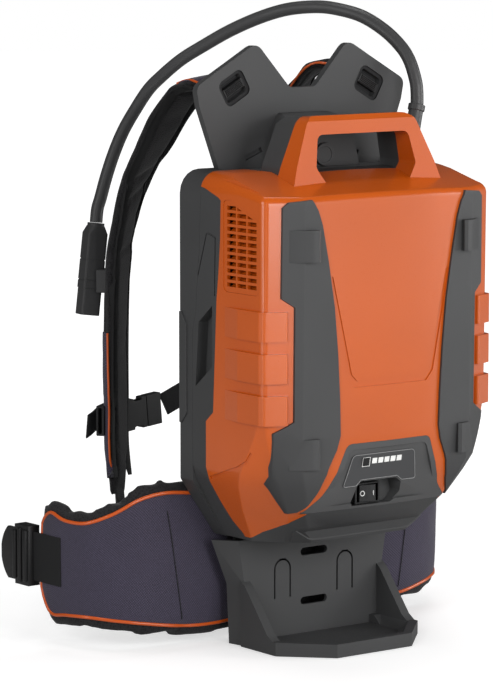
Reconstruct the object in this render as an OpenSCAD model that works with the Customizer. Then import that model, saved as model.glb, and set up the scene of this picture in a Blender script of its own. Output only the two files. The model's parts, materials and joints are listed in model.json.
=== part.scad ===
// Backpack battery pack on a carrying harness: battery housing, back frame with
// foot bracket, height-adjustable yoke, shoulder straps, chest strap and hip belt.
// Front faces -Y, the wearer stands at +Y, X is to the side and Z is up.
// The origin is on the floor, in the front plane of the foot bracket's wall.

/* [Battery housing] */
// Width over the flat sides of the housing
body_w = 284; // [272:1:300]
// Distance of the front corner ridge in front of the bracket wall
ridge_y = 118; // [112:1:126]
// Half distance between the two front corner ridges
ridge_x = 105; // [98:1:110]
// How far the middle of the front stands proud of the ridges
front_bow = 8; // [5:1:11]
// Height of the housing's underside
body_z0 = 114; // [113:1:118]
// Height of the front top edge
front_top = 457; // [445:1:470]
// Slope of the top towards the front, in degrees
top_slope = 14.6; // [12:0.2:17]
// Height of the flat rear part of the top
rear_top = 483; // [478:1:490]
// Wall thickness of the housing shells
shell_t = 3; // [2.4:0.2:4]
// Radius of the top corners seen from the front
corner_r = 20; // [12:1:22]
// Height that the side pads stand proud
pad_h = 3.5; // [2.5:0.5:4.5]
// Height of one side pad
pad_z = 29; // [25:1:31]
// Distance from one side pad to the next
pad_pitch = 41; // [38:1:43]
// Number of side pads on each side
pad_n = 3; // [2:1:3]

/* [Handle] */
// Half width of the handle at its top
handle_hw = 66; // [60:1:72]
// Height of the top of the handle
handle_top = 538; // [532:1:548]
// Thickness of the grip bar
grip_t = 18; // [15:1:21]
// Front of the handle at its top
handle_front = 75; // [72:1:80]
// Rear of the handle
handle_rear = 27; // [24:1:32]
// Plane where the front and rear halves of the handle meet
handle_seam = 57; // [50:1:62]

/* [Vent grilles] */
// Width of a vent grille, front to rear
vent_w = 58; // [50:1:60]
// Height of a vent grille
vent_h = 90; // [78:1:96]
// Rows of vent slots
vent_rows = 12; // [8:1:13]
// Columns of vent slots
vent_cols = 3; // [2:1:4]
// Width of the bars between the slots
vent_bar = 2.2; // [1.8:0.1:3]

/* [Front details] */
// Thickness of a corner guard over the housing
guard_t = 2.6; // [2:0.2:3.4]
// Height that a clip block stands proud of its guard
clip_h = 8; // [6:0.5:10]
// Depth of the control panel under the front face
panel_recess = 3; // [2:0.5:4]
// Width of the rocker switch button
rocker_w = 26; // [22:1:28]
// Height of the rocker switch button
rocker_h = 16.5; // [14:0.5:17]
// Swing of the rocker to each side, in degrees
rocker_swing = 9; // [6:1:11]
// Number of charge level bars
gauge_n = 5; // [3:1:6]

/* [Battery cells] */
// Diameter of one cell
cell_d = 18.4; // [18:0.1:18.6]
// Length of one cell
cell_l = 65; // [64:0.5:70]
// Distance from cell to cell
cell_pitch = 20.2; // [19.6:0.1:20.8]
// Cells side by side
cell_cols = 12; // [8:1:12]
// Cells on top of each other
cell_rows = 10; // [6:1:10]

/* [Back frame] */
// Thickness of the frame, front to rear
frame_t = 21; // [20:0.5:24]
// Thickness of the frame's back web
web_t = 6; // [5:0.5:7]
// Width of the frame's rim
rim_w = 10; // [8:1:13]

/* [Foot bracket] */
// Width of the foot on the floor
foot_w = 184; // [170:1:196]
// Reach of the foot in front of the wall
foot_reach = 100; // [88:1:112]
// Height of the lip round the foot
lip_h = 13.7; // [11:0.1:17]
// Height of the wall
wall_h = 108.8; // [104:0.2:110]
// Wall thickness of the bracket
wall_t = 4; // [3:0.5:5]
// Depth of the wall's side flanges
flange_d = 22; // [18:1:26]
// Width of a snap tongue
tongue_w = 18; // [14:1:22]
// Width of the slit round a snap tongue
slit = 1.8; // [1.4:0.1:2.4]

/* [Yoke] */
// Height of the wing tops
yoke_top = 607; // [600:1:612]
// Half width over the outer corners
yoke_hw = 132.7; // [124:0.1:138]
// Thickness of the yoke plate
yoke_t = 8; // [6.5:0.5:8.5]
// Width of a webbing window
window_w = 26; // [22:1:28]
// Height of a webbing window
window_h = 21; // [17:1:23]
// Travel of the height adjustment
yoke_travel = 40; // [20:1:44]
// Diameter of the height lock button
knob_d = 23; // [18:1:26]

/* [Straps and belts] */
// Width of a shoulder strap
strap_w = 62; // [54:1:66]
// Thickness of a shoulder strap
strap_t = 11; // [9:0.5:13]
// Width of the narrow webbing
web_w = 25; // [20:1:26]
// Thickness of the webbing
web_th = 2; // [1.6:0.2:2.4]
// Thickness of the hip pads
hip_t = 18; // [14:1:22]
// Width of the hip belt webbing
belt_w = 50; // [40:1:52]
// Half width of the lumbar pad
lumbar_hw = 66; // [60:1:66]
// Height of the lumbar pad
lumbar_h = 156; // [140:1:160]
// Thickness of the lumbar pad
lumbar_t = 22; // [16:1:24]
// Width of one back pad
back_pad_w = 44; // [34:1:48]
// Height of the back pads
back_pad_h = 240; // [200:1:245]
// Thickness of the back pads
back_pad_t = 14; // [10:1:16]
// Diameter of the power cable
cable_d = 13.5; // [12:0.5:15]

/* [Fits] */
// Running clearance between moving pieces
run_gap = 0.3; // [0.2:0.05:0.5]
// Gap between pieces that only sit beside each other
seat_gap = 0.15; // [0.1:0.05:0.3]

/* [Hidden] */
eps = 0.01;
far = 400;
$fn = 48;

half_w = body_w / 2;
housing_back = 14.7;
frame_y0 = housing_back + run_gap;
frame_y1 = frame_y0 + frame_t;
web_y = frame_y1 - web_t;
chamfer_z = 175;
chamfer_x = half_w - 38;
seam_top_y = -32.5;
seam_low_y = -7.5;
arc_n = 4;

// ---------- shared functions ----------

// Point where the line a-b moved by da meets the line b-c moved by db
function unit(v) = v / norm(v);
function left_of(v) = [-v[1], v[0]];
function cross2(a, b) = a[0] * b[1] - a[1] * b[0];
function meet(p, u, q, v) = p + u * cross2(q - p, v) / cross2(u, v);
function inset_corner(a, b, c, d) =
    let (u = unit(b - a), v = unit(c - b))
    meet(b + left_of(u) * d, u, b + left_of(v) * d, v);
// Outline moved inwards by d; the outline runs anticlockwise
function inset_outline(p, d) =
    [for (i = [0:len(p) - 1])
        inset_corner(p[(i + len(p) - 1) % len(p)], p[i], p[(i + 1) % len(p)], d)];
// Rounded corner at b with n steps
function corner_arc(a, b, c, r, n) =
    let (
        u = unit(a - b),
        v = unit(c - b),
        half = acos(u * v) / 2,
        rr = max(r, 0.2),
        centre = b + unit(u + v) * rr / sin(half),
        from = b + u * rr / tan(half) - centre,
        to = b + v * rr / tan(half) - centre,
        turn = 180 - 2 * half
    )
    [for (i = [0:n]) centre
        + from * sin(turn * (1 - i / n)) / sin(turn)
        + to * sin(turn * i / n) / sin(turn)];
function round_outline(p, r, n) =
    [for (i = [0:len(p) - 1])
        each corner_arc(p[(i + len(p) - 1) % len(p)], p[i], p[(i + 1) % len(p)], r[i], n)];
function at_z(p, z) = [for (q = p) [q[0], q[1], z]];
function mirrored(p) = [for (i = [len(p) - 1:-1:0]) [-p[i][0], p[i][1]]];

// Solid through a list of rings that all have the same number of points
module skin(rings) {
    n = len(rings[0]);
    m = len(rings);
    polyhedron(
        points = [for (r = rings) each r],
        faces = concat(
            [[for (i = [0:n - 1]) i]],
            [for (k = [0:m - 2]) for (i = [0:n - 1])
                [k * n + i, (k + 1) * n + i, k * n + (i + 1) % n]],
            [for (k = [0:m - 2]) for (i = [0:n - 1])
                [k * n + (i + 1) % n, (k + 1) * n + i, (k + 1) * n + (i + 1) % n]],
            [[for (i = [n - 1:-1:0]) (m - 1) * n + i]]
        ),
        convexity = 6
    );
}

// Prism across X from an outline in (y, z)
module across_x(w) {
    rotate([90, 0, 90])
        linear_extrude(w, center = true, convexity = 6)
            children();
}

// Prism along Y from an outline in (x, z), from y0 to y1
module along_y(y0, y1) {
    translate([0, y1, 0])
        rotate([90, 0, 0])
            linear_extrude(y1 - y0, convexity = 6)
                children();
}

module both_sides() {
    children();
    mirror([1, 0, 0])
        children();
}

module left_side() {
    mirror([1, 0, 0])
        children();
}

// ---------- housing form ----------

// Half section of the housing at height z, from the ridge round to the back
function section(z) =
    let (
        top = front_top,
        side = lookup(z, [[body_z0, chamfer_x - 2], [chamfer_z + 8, half_w], [top, half_w]]),
        ax = lookup(z, [[body_z0, ridge_x - 45], [150, ridge_x - 18], [190, ridge_x - 2],
            [228, ridge_x], [top, ridge_x]]),
        ay = lookup(z, [[body_z0, ridge_y - 48], [132, ridge_y - 34], [150, ridge_y - 21],
            [175, ridge_y - 9], [190, ridge_y - 4.5], [228, ridge_y - 2], [top, ridge_y]]),
        bx = lookup(z, [[body_z0, half_w - 62], [150, half_w - 43], [175, half_w - 27],
            [190, half_w - 17], [228, half_w - 6], [250, half_w - 2], [top, half_w - 2]]),
        by = lookup(z, [[body_z0, ridge_y - 63], [150, ridge_y - 32], [175, ridge_y - 23],
            [190, ridge_y - 20], [228, ridge_y - 17], [top, ridge_y - 15]]),
        cy = lookup(z, [[body_z0, ridge_y - 88], [150, ridge_y - 76], [175, ridge_y - 63],
            [190, ridge_y - 54], [228, ridge_y - 32], [250, ridge_y - 22], [top, ridge_y - 21]]),
        bow = lookup(z, [[body_z0, 2], [150, front_bow - 3], [228, front_bow - 1], [top, front_bow]])
    )
    [[ax / 2, -ay - bow * 0.72], [ax, -ay], [bx, -by], [side, -cy], [side, housing_back]];

function housing_ring(z, d) =
    let (
        h = section(z),
        p = concat([[0, h[0][1] - (h[1][1] - h[0][1]) * 0.38]], h, mirrored(h)),
        q = inset_outline(p, d),
        r = [0.5, 0.5, 6 - d / 2, 7 - d, 7 - d, 1, 1, 7 - d, 7 - d, 6 - d / 2, 0.5]
    )
    at_z(concat(
        [q[0], q[1]],
        corner_arc(q[1], q[2], q[3], r[2], 2),
        corner_arc(q[2], q[3], q[4], r[3], arc_n),
        corner_arc(q[3], q[4], q[5], r[4], arc_n),
        [q[5], q[6]],
        corner_arc(q[6], q[7], q[8], r[7], arc_n),
        corner_arc(q[7], q[8], q[9], r[8], arc_n),
        corner_arc(q[8], q[9], q[10], r[9], 2),
        [q[10]]
    ), z);

ring_levels = [body_z0, 132, 150, 175, 190, 228, 250, 350];

crown = 7;
// Inset and drop of the rings that round the top edge
top_round = [[0, 7], [0.9, 3.5], [3.4, 0.9], [6, -0.4]];
most_inset = 9;
// Height of the top face at a place in plan
function top_at(x, y) = min(rear_top, front_top + (y + ridge_y + front_bow) * tan(top_slope)
    + crown * (1 - pow(x / half_w, 2)) / cos(top_slope));
function top_ring(d, inset, drop) =
    [for (q = housing_ring(front_top, min(d + inset, most_inset)))
        [q[0], q[1], top_at(q[0], q[1]) - d - drop]];

// The housing's outer form moved inwards by d
module housing_form(d) {
    intersection() {
        skin(concat(
            [for (z = ring_levels) housing_ring(z == body_z0 ? z + max(d, 0) : z, d)],
            [for (r = top_round) top_ring(d, r[0], r[1])],
            [at_z(housing_ring(front_top, min(d + top_round[3][0], most_inset)), rear_top + 60)]
        ));
        // crowned top that slopes down to the front
        translate([0, -ridge_y - front_bow, front_top - d])
            rotate([top_slope, 0, 0])
                along_y(-far, far)
                    polygon(concat(
                        [[-half_w - 40, -far], [half_w + 40, -far]],
                        [for (i = [6:-1:-6]) let (x = i / 6 * (half_w + 40))
                            [x, crown * (1 - x * x / half_w / half_w)]]
                    ));
        // flat rear top, rounded corners and the slope under the front
        along_y(-far, housing_back - d)
            polygon(round_outline([
                [-half_w - far, 0], [half_w + far, 0], [half_w - d, 200],
                [half_w - d, rear_top - d], [-half_w + d, rear_top - d], [-half_w + d, 200]
            ], [1, 1, 1, corner_r - d, corner_r - d, 1], 6));
        across_x(far)
            polygon([
                [-ridge_y - front_bow - 10, front_top + 90], [-ridge_y - front_bow - 10, 152 + d],
                [-ridge_y + 6, 149 + d], [-78, 127 + d], [-72, body_z0 + d],
                [housing_back - d, body_z0 + d], [housing_back - d, front_top + 90]
            ]);
    }
}

// Seam between front cover and rear housing, seen from the side
seam_depth = 60;
seam_line = [
    [-handle_seam, front_top + 120], [-handle_seam, rear_top - 6], [seam_top_y - 13, rear_top - 11],
    [seam_top_y, front_top + 4], [seam_top_y + 1, front_top - 38], [seam_top_y + 4, 384],
    [seam_top_y + 7, 360], [seam_top_y + 10, 300], [seam_top_y + 13, 246], [seam_low_y, 236],
    [seam_low_y, 178], [seam_low_y - 2, 151], [seam_low_y - 6, 134], [seam_low_y - 14, 121],
    [seam_low_y - 14, body_z0 - 5]
];
// Border between the housing and the back frame, seen from the side, moved forward by g
module behind_border(g) {
    across_x(far)
        polygon([
            [housing_back - g, 0], [housing_back - g, 324], [housing_back - 5.5 - g, 342],
            [housing_back - 7.5 - g, 370], [housing_back - 11.5 - g, 405],
            [housing_back - 13.5 - g, front_top], [housing_back - 13.5 - g, far * 2], [far, far * 2], [far, 0]
        ]);
}
// Top corners that belong to the front cover, grown by g
corner_x = 88;
module corner_region(g) {
    both_sides()
        translate([corner_x - g, 0, 0])
            rotate([90, 0, 90])
                linear_extrude(far)
                    polygon([[-seam_depth, front_top], [seam_top_y - g, front_top - g],
                        [seam_top_y + 5, front_top + 3 - g], [-6.6, front_top + 10 - g],
                        [housing_back, front_top + 14 - g], [housing_back, rear_top + 20],
                        [-seam_depth, rear_top + 20]]);
}
// Region in front of the seam, moved forward by g
module front_region(g) {
    across_x(far)
        polygon(concat(
            [for (p = seam_line) [p[0] - g, p[1]]],
            [[-200, body_z0 - 5], [-200, front_top + 120]]
        ));
}
module rear_region(g) {
    across_x(far)
        polygon(concat(
            [for (p = seam_line) [p[0] + g, p[1]]],
            [[100, body_z0 - 5], [100, front_top + 120]]
        ));
}

// Bottom cover seen from the front, moved outwards by g
bottom_z = 149;
module bottom_outline(g) {
    polygon([
        [-chamfer_x - 20, body_z0 - 20], [chamfer_x + 20, body_z0 - 20],
        [chamfer_x - 1 + g, 119], [84 + g, bottom_z + g], [-84 - g, bottom_z + g],
        [-chamfer_x + 1 - g, 119]
    ]);
}

// Control panel seen from the front, moved outwards by g
module panel_outline(g) {
    p = [[-92, bottom_z], [92, bottom_z], [74, 166], [62, 192], [52, 218], [-52, 218],
        [-62, 192], [-74, 166]];
    polygon(round_outline(inset_outline(p, -g), [1, 1, 20, 20, 8, 8, 20, 20], 4));
}

// Window of a vent grille seen from the side, moved outwards by g
vent_y = -ridge_y / 2 - 7;
vent_z = front_top - 44;
module vent_outline(g) {
    w = vent_w / 2;
    h = vent_h / 2;
    p = [[-w, -h], [w, -h], [w, h], [w - 14, h], [-w, h - 17]];
    translate([vent_y, vent_z])
        polygon(round_outline(inset_outline(p, -g), [6, 6, 5, 8, 8], 4));
}

// ---------- handle ----------

function handle_outer() = [
    [-handle_hw - 29, front_top + 8], [handle_hw + 29, front_top + 8],
    [handle_hw + 21, rear_top + 6], [handle_hw, handle_top], [-handle_hw, handle_top],
    [-handle_hw - 21, rear_top + 6]
];
function handle_hole() = [
    [-handle_hw + 13, front_top + 16], [handle_hw - 13, front_top + 16],
    [handle_hw - 3, rear_top + 5], [handle_hw - 9, handle_top - grip_t],
    [-handle_hw + 9, handle_top - grip_t], [-handle_hw + 3, rear_top + 5]
];
module handle_form() {
    intersection() {
        along_y(-ridge_y, 0)
            difference() {
                polygon(round_outline(handle_outer(), [1, 1, 30, 16, 16, 30], 5));
                polygon(round_outline(handle_hole(), [2, 2, 6, 7, 7, 6], 4));
            }
        across_x(far)
            polygon([
                [-handle_front - 14, front_top], [-handle_front, handle_top - 5],
                [-handle_front + 6, handle_top], [-handle_rear - 7, handle_top - 2],
                [-handle_rear, handle_top - 9], [-handle_rear, front_top]
            ]);
    }
}

// ---------- battery housing pieces ----------

// One raised pad round the front corner, seen from above
module side_pad(z) {
    k = 3;
    p = [
        [half_w - k, -39], [half_w, -39], [half_w + pad_h, -64],
        [half_w + pad_h, -ridge_y + 20], [half_w + pad_h - 2, -ridge_y + 13.5],
        [ridge_x + 15 + 0.4 * pad_h, -ridge_y + 6.8 - 0.9 * pad_h], [ridge_x + 14, -ridge_y + 8],
        [half_w - k, -ridge_y + 24]
    ];
    translate([0, 0, z])
        linear_extrude(pad_z)
            polygon(round_outline(p, [0.3, 0.3, 20, 5, 4, 2, 0.3, 0.3], 3));
}
pads_z0 = 242;

// Shallow lines pressed into the front and the flanks
module relief_lines() {
    difference() {
        union() {
            along_y(-far, 0) {
                u = [[-76, 385], [-55, 284], [-46, 274], [46, 274], [55, 284], [76, 385]];
                difference() {
                    polygon(u);
                    polygon([[-74, 396], [-48.5, 287], [-42, 280.5], [42, 280.5], [48.5, 287], [74, 396]]);
                }
            }
            across_x(far)
                polygon([[-11, 178], [-34, 186], [-59, 194], [-73, 201], [-81, 212], [-79, 213],
                    [-72, 203.6], [-58, 196.6], [-33.4, 188.4], [-10, 180.5]]);
        }
        housing_form(relief_d);
    }
}
relief_d = 1.2;

module front_cover() {
    color("darkorange")
    difference() {
        union() {
            intersection() {
                union() {
                    housing_form(0);
                    both_sides()
                        for (i = [0:pad_n - 1])
                            side_pad(pads_z0 + i * pad_pitch);
                }
                union() {
                    front_region(0);
                    corner_region(0);
                }
            }
            intersection() {
                handle_form();
                front_region(0);
            }
        }
        housing_form(shell_t);
        behind_border(0);
        boot_sleeve(seat_gap);
        relief_lines();
        along_y(-far, 0)
            bottom_outline(seat_gap);
        along_y(-far, 0)
            panel_outline(seat_gap);
        across_x(2 * far)
            vent_outline(seat_gap);
    }
}

module rear_housing() {
    pocket_d = 12;
    color("dimgray")
    difference() {
        union() {
            intersection() {
                housing_form(0);
                rear_region(seat_gap);
            }
            intersection() {
                handle_form();
                rear_region(seat_gap);
            }
        }
        difference() {
            housing_form(shell_t);
            behind_border(shell_t);
            // walls of the grab pockets
            both_sides()
                translate([half_w - pocket_d - shell_t, 0, 0])
                    pocket_prism(pocket_d, shell_t);
            // screw bosses
            screw_holes(frame_screw_at, 11, boss_y, housing_back);
            // walls of the notch for the yoke's stem
            translate([-stem_hw0 - run_gap - shell_t, stem_front - run_gap - shell_t, notch_z - shell_t])
                cube([2 * (stem_hw0 + run_gap + shell_t), far, far]);
        }
        behind_border(0);
        corner_region(seat_gap);
        along_y(-far, 0)
            bottom_outline(seat_gap);
        both_sides()
            translate([half_w - pocket_d, 0, 0])
                pocket_prism(pocket_d + 10, 0);
        // hook-shaped groove beside the vent
        both_sides()
            translate([half_w - 1.2, 0, 0])
                rotate([90, 0, 90])
                    linear_extrude(10)
                        polygon([[-23, 362], [-24.5, 421], [-14, 424], [-8, 423], [6, 381], [5.2, 379.2],
                            [-9.4, 421.2], [-13.4, 421.8], [-22.4, 419.2], [-21, 362]]);
        screw_holes(frame_screw_at, screw_d, boss_y + 3, housing_back + 1);
        translate([-stem_hw0 - run_gap, stem_front - run_gap, notch_z])
            cube([2 * (stem_hw0 + run_gap), far, far]);
        // scoop round the lock button
        translate([0, stem_front - run_gap - shell_t - 1, button_z])
            rotate([-90, 0, 0])
                cylinder(d = knob_d + 4 * run_gap, h = shell_t + 2);
        // way for the cable boot
        boot_sleeve(seat_gap);
    }
}
boss_y = -16;
module pocket_prism(w, g) {
    p = [[-18, 291], [10, 269], [4.5, 334], [-18, 352]];
    rotate([90, 0, 90])
        linear_extrude(w + g)
            polygon(inset_outline(p, -g));
}

module vent_grille() {
    w = vent_w / 2;
    h = vent_h / 2;
    rim = 4;
    row = (vent_h - 2 * rim) / vent_rows;
    col = (vent_w - 2 * rim) / vent_cols;
    color("darkorange")
    intersection() {
        translate([half_w - shell_t - 1.4, 0, 0])
            rotate([90, 0, 90])
                linear_extrude(shell_t + 0.8, convexity = 10)
                    difference() {
                        vent_outline(0);
                        intersection() {
                            vent_outline(-3.2);
                            translate([vent_y, vent_z])
                                for (i = [0:vent_rows - 1])
                                    for (j = [0:vent_cols - 1])
                                        translate([(j + 0.5) * col - w + rim, (i + 0.5) * row - h + rim])
                                            square([col - vent_bar, row - vent_bar * 1.3], center = true);
                        }
                    }
    }
}
module right_vent_grille() { vent_grille(); }
module left_vent_grille() { left_side() vent_grille(); }

// Corner guard seen from the front
function guard_front() = [
    [ridge_x - 8, front_top + 4], [ridge_x - 14.5, front_top - 6.5], [ridge_x - 19.5, front_top - 21],
    [ridge_x - 26.5, 401], [ridge_x - 34, 355], [ridge_x - 38.5, 308], [ridge_x - 41.3, 261],
    [ridge_x - 42.3, 228], [ridge_x - 39, 214], [ridge_x - 30.5, 196], [ridge_x - 22.5, 170],
    [ridge_x - 17, 159], [ridge_x - 10, 151], [ridge_x - 4, 149.3], [ridge_x + 8, 164],
    [ridge_x + 21.5, 181], [ridge_x + 25, 199], [ridge_x + 28, 234], [ridge_x + 16, 240.5],
    [ridge_x + 9, 245], [ridge_x + 9, 357], [ridge_x + 21.5, 366], [ridge_x + 21, front_top - 3],
    [ridge_x + 15, front_top + 2]
];
clip_at = [[ridge_x - 13, front_top - 56, 31], [ridge_x - 16, 197, 30]];
module on_side(side) {
    if (side < 0)
        left_side()
            children();
    else
        children();
}
module corner_guard(side) {
    color("dimgray")
    difference() {
        union() {
            intersection() {
                housing_form(-guard_t);
                on_side(side)
                    along_y(-far, -40)
                        polygon(guard_front());
            }
            on_side(side)
                for (c = clip_at)
                    clip_block(c);
        }
        housing_form(-seat_gap);
    }
}
module clip_block(c) {
    y = -ridge_y - guard_t + (c[1] < 250 ? 4 : 0);
    translate([c[0], y, c[1]])
        linear_extrude(c[2])
            polygon([[1, 1.2], [-1, -clip_h + 2], [2, -clip_h], [10, -clip_h + 1.5],
                [28, 6.4], [24, 7.6], [13, 2]]);
}
module right_corner_guard() { corner_guard(1); }
module left_corner_guard() { corner_guard(-1); }

module bottom_cover() {
    tray_z = 127;
    color("dimgray")
    difference() {
        union() {
            intersection() {
                housing_form(0);
                along_y(-far, -seat_gap)
                    bottom_outline(0);
            }
            // band that runs round the underside
            intersection() {
                along_y(-74, -20)
                    polygon([[-76, body_z0], [76, body_z0], [82, tray_z - 1], [78, tray_z + 3],
                        [-78, tray_z + 3], [-82, tray_z - 1]]);
                housing_form(-1.5);
            }
        }
        housing_form(shell_t + 1);
    }
}

// ---------- control panel ----------

// The panel's face seen from the side: upper edge, bend and lower edge
face_at = [[-ridge_y - 1.9 + panel_recess * 0.3, 212], [-ridge_y + 6.1 + panel_recess * 0.3, 173],
    [-ridge_y + 18.8 + panel_recess * 0.3, bottom_z]];
upper_tilt = atan2(face_at[1][0] - face_at[0][0], face_at[0][1] - face_at[1][1]);
// Region in front of the face, moved back by g
module before_face(g) {
    across_x(far)
        polygon([
            [-far, 120], [-far, 240], [face_at[0][0] - 5 + g, 240], [face_at[0][0] + g, face_at[0][1]],
            [face_at[1][0] + g, face_at[1][1]], [face_at[2][0] + g, face_at[2][1]],
            [face_at[2][0] + 12 + g, 130], [face_at[2][0] + 12 + g, 120]
        ]);
}
// Plane of the upper half of the face, z up along it from the bend
module upper_face() {
    translate([0, face_at[1][0], face_at[1][1]])
        rotate([upper_tilt, 0, 0])
            children();
}
floor_y = -ridge_y + 30;
switch_at = [-10, -ridge_y + 19, 163];
module switch_opening(g) {
    polygon(round_outline(inset_outline(
        [[-34, 152], [17, 152], [26, 162], [23, 173], [16, 178], [-29, 178], [-33, 173]], -g),
        [3, 6, 4, 4, 3, 3, 3], 4));
}
module panel_strip(g) {
    translate([-far, bottom_z + g])
        square([far * 2, far]);
}
module control_panel() {
    color("dimgray")
    difference() {
        union() {
            difference() {
                intersection() {
                    housing_form(0);
                    along_y(-far, 0)
                        panel_outline(0);
                    along_y(-far, 0)
                        panel_strip(seat_gap);
                }
                housing_form(7);
                // sunken face inside a raised edge
                intersection() {
                    before_face(0);
                    along_y(-far, 0)
                        panel_outline(-6);
                }
            }
            // walls and floor of the switch recess
            difference() {
                along_y(-ridge_y - 10, floor_y)
                    switch_opening(2);
                before_face(0);
            }
        }
        along_y(-far, floor_y - 2.5)
            switch_opening(0);
        translate([switch_at[0], 0, switch_at[2]])
            along_y(-100, 0)
                square([switch_w + 2 * seat_gap, switch_h + 2 * seat_gap], center = true);
        upper_face()
            translate([gauge_x0 - 11.5, 0, gauge_z])
                along_y(-5, 9)
                    square(button_s + 2 * run_gap, center = true);
    }
}
module label_outline() {
    polygon(round_outline(
        [[-52, 1], [-36, 1], [-30, 7], [17, 7], [24, 2], [41, 2], [35, 34], [-44, 34]],
        [2, 2, 2, 2, 2, 2, 5, 5], 3));
}
gauge_w = 6;
gauge_gap = 7.8;
gauge_x0 = -15.5;
gauge_z = 26;
gauge_h = 5.5;
label_y0 = -0.9;
module gauge_spot(i, g) {
    translate([gauge_x0 + i * gauge_gap - gauge_w / 2 - g, gauge_z - gauge_h / 2 - g])
        square([gauge_w + 2 * g, gauge_h + 2 * g]);
}
button_s = 8;
module panel_label() {
    color([0.2, 0.2, 0.21])
    upper_face()
        along_y(label_y0, -0.05)
            difference() {
                label_outline();
                for (i = [0:gauge_n - 1])
                    gauge_spot(i, seat_gap);
                translate([gauge_x0 - 11.5, gauge_z])
                    square(button_s + 2 * run_gap, center = true);
            }
}
module gauge_lights() {
    color("white")
    upper_face()
        along_y(label_y0 - 0.2, -0.05)
            for (i = [0:gauge_n - 1])
                gauge_spot(i, 0);
}
button_travel = 0.8;
module gauge_button() {
    color([0.15, 0.15, 0.16])
    upper_face()
        translate([gauge_x0 - 11.5, 0, gauge_z])
            along_y(label_y0 - button_travel - 0.3, 6)
                square(button_s, center = true);
}

// The rocker turns about a pin that lies up and down across its middle
pin_d = 3;
switch_w = rocker_w + 5;
switch_h = rocker_h + 4;
module switch_place() {
    translate(switch_at)
        children();
}
module switch_frame() {
    color([0.1, 0.1, 0.1])
    switch_place()
        difference() {
            along_y(0, 26)
                square([switch_w, switch_h], center = true);
            along_y(-1, 18)
                square([rocker_w + 2 * run_gap, rocker_h + 2 * run_gap], center = true);
            translate([0, 7, 0])
                cylinder(d = pin_d + 2 * run_gap / 3, h = rocker_h + 3, center = true);
        }
}
module power_rocker() {
    w = rocker_w / 2;
    color([0.08, 0.08, 0.08])
    switch_place()
        translate([0, 7, 0])
            rotate([0, 0, -rocker_swing])
                union() {
                    intersection() {
                        translate([0, 0, -rocker_h / 2])
                            linear_extrude(rocker_h)
                                polygon([[-w + 1.6, -6], [-w + 1, -9.5], [0, -8.4],
                                    [w - 1, -9.5], [w - 1.6, -6], [6, 4], [-6, 4]]);
                        cylinder(r = w - 0.2, h = far, center = true);
                    }
                    cylinder(d = pin_d, h = rocker_h + 2.4, center = true);
                }
}

// ---------- cells and electronics ----------

cells_y0 = -84;
cells_z0 = 208;
module cell_grid() {
    for (i = [0:cell_cols - 1])
        for (k = [0:cell_rows - 1])
            translate([(i - (cell_cols - 1) / 2) * cell_pitch, 0, cells_z0 + k * cell_pitch])
                rotate([-90, 0, 0])
                    children();
}
module cells() {
    color("teal")
    translate([0, cells_y0, 0])
        cell_grid()
            cylinder(d = cell_d, h = cell_l);
}
holder_t = 7;
module cell_holder() {
    w = (cell_cols - 1) * cell_pitch + cell_d + 4;
    h = (cell_rows - 1) * cell_pitch + cell_d + 4;
    difference() {
        translate([-w / 2, 0, cells_z0 - cell_d / 2 - 2])
            cube([w, holder_t, h]);
        cell_grid()
            translate([0, 0, -eps])
                cylinder(d = cell_d + 2 * seat_gap, h = holder_t + 2 * eps);
    }
}
module front_cell_holder() {
    color("black")
    translate([0, cells_y0, 0])
        cell_holder();
}
module rear_cell_holder() {
    color("black")
    translate([0, cells_y0 + cell_l - holder_t, 0])
        cell_holder();
}
module bus_strips() {
    strip_w = cell_pitch - 4;
    w = (cell_cols - 1) * cell_pitch + 8;
    color("silver")
    for (k = [0:cell_rows - 1])
        for (y = [cells_y0 - 0.3 - seat_gap, cells_y0 + cell_l + seat_gap])
            translate([-w / 2, y, cells_z0 + k * cell_pitch - strip_w / 2])
                cube([w, 0.3, strip_w]);
}
board_z = cells_z0 + cell_rows * cell_pitch + 6;
module management_board() {
    color("green")
    union() {
        translate([-90, -80, board_z])
            cube([180, 56, 1.6]);
        for (x = [-70:20:-10])
            translate([x, -72, board_z + 1.6 - eps])
                cube([10, 14, 5]);
        for (x = [14:14:56])
            translate([x, -46, board_z + 1.6 - eps])
                cylinder(d = 10, h = 12);
    }
}
module main_fuse() {
    color("ivory")
    translate([70, -64, board_z + 1.6 + seat_gap + 5])
        rotate([-90, 0, 0])
            cylinder(d = 10, h = 30);
}

// ---------- back frame ----------

frame_r = 23;
function frame_outline() = [
    [-chamfer_x + 4, body_z0 - 2], [chamfer_x - 4, body_z0 - 2], [half_w, chamfer_z - 2],
    [half_w, rear_top], [-half_w, rear_top], [-half_w, chamfer_z - 2]
];
frame_rounds = [3, 3, 5, frame_r, frame_r, 5];
blade_hw = 50;
yoke_y0 = frame_y0 + 5.5;
pocket_y = yoke_y0 + yoke_t + run_gap;
screw_d = 4;
frame_screw_at = [for (z = [215, 330, 445]) for (x = [-118, 118]) [x, z]];
bracket_screw_at = [for (z = [124, 142]) for (x = [-46, 46]) [x, z]];
tongue_y0 = frame_y0 + 7;
tongue_y1 = web_y - seat_gap;

module screw_holes(places, d, y0, y1) {
    for (p = places)
        translate([p[0], y0, p[1]])
            rotate([-90, 0, 0])
                cylinder(d = d, h = y1 - y0);
}

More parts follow.
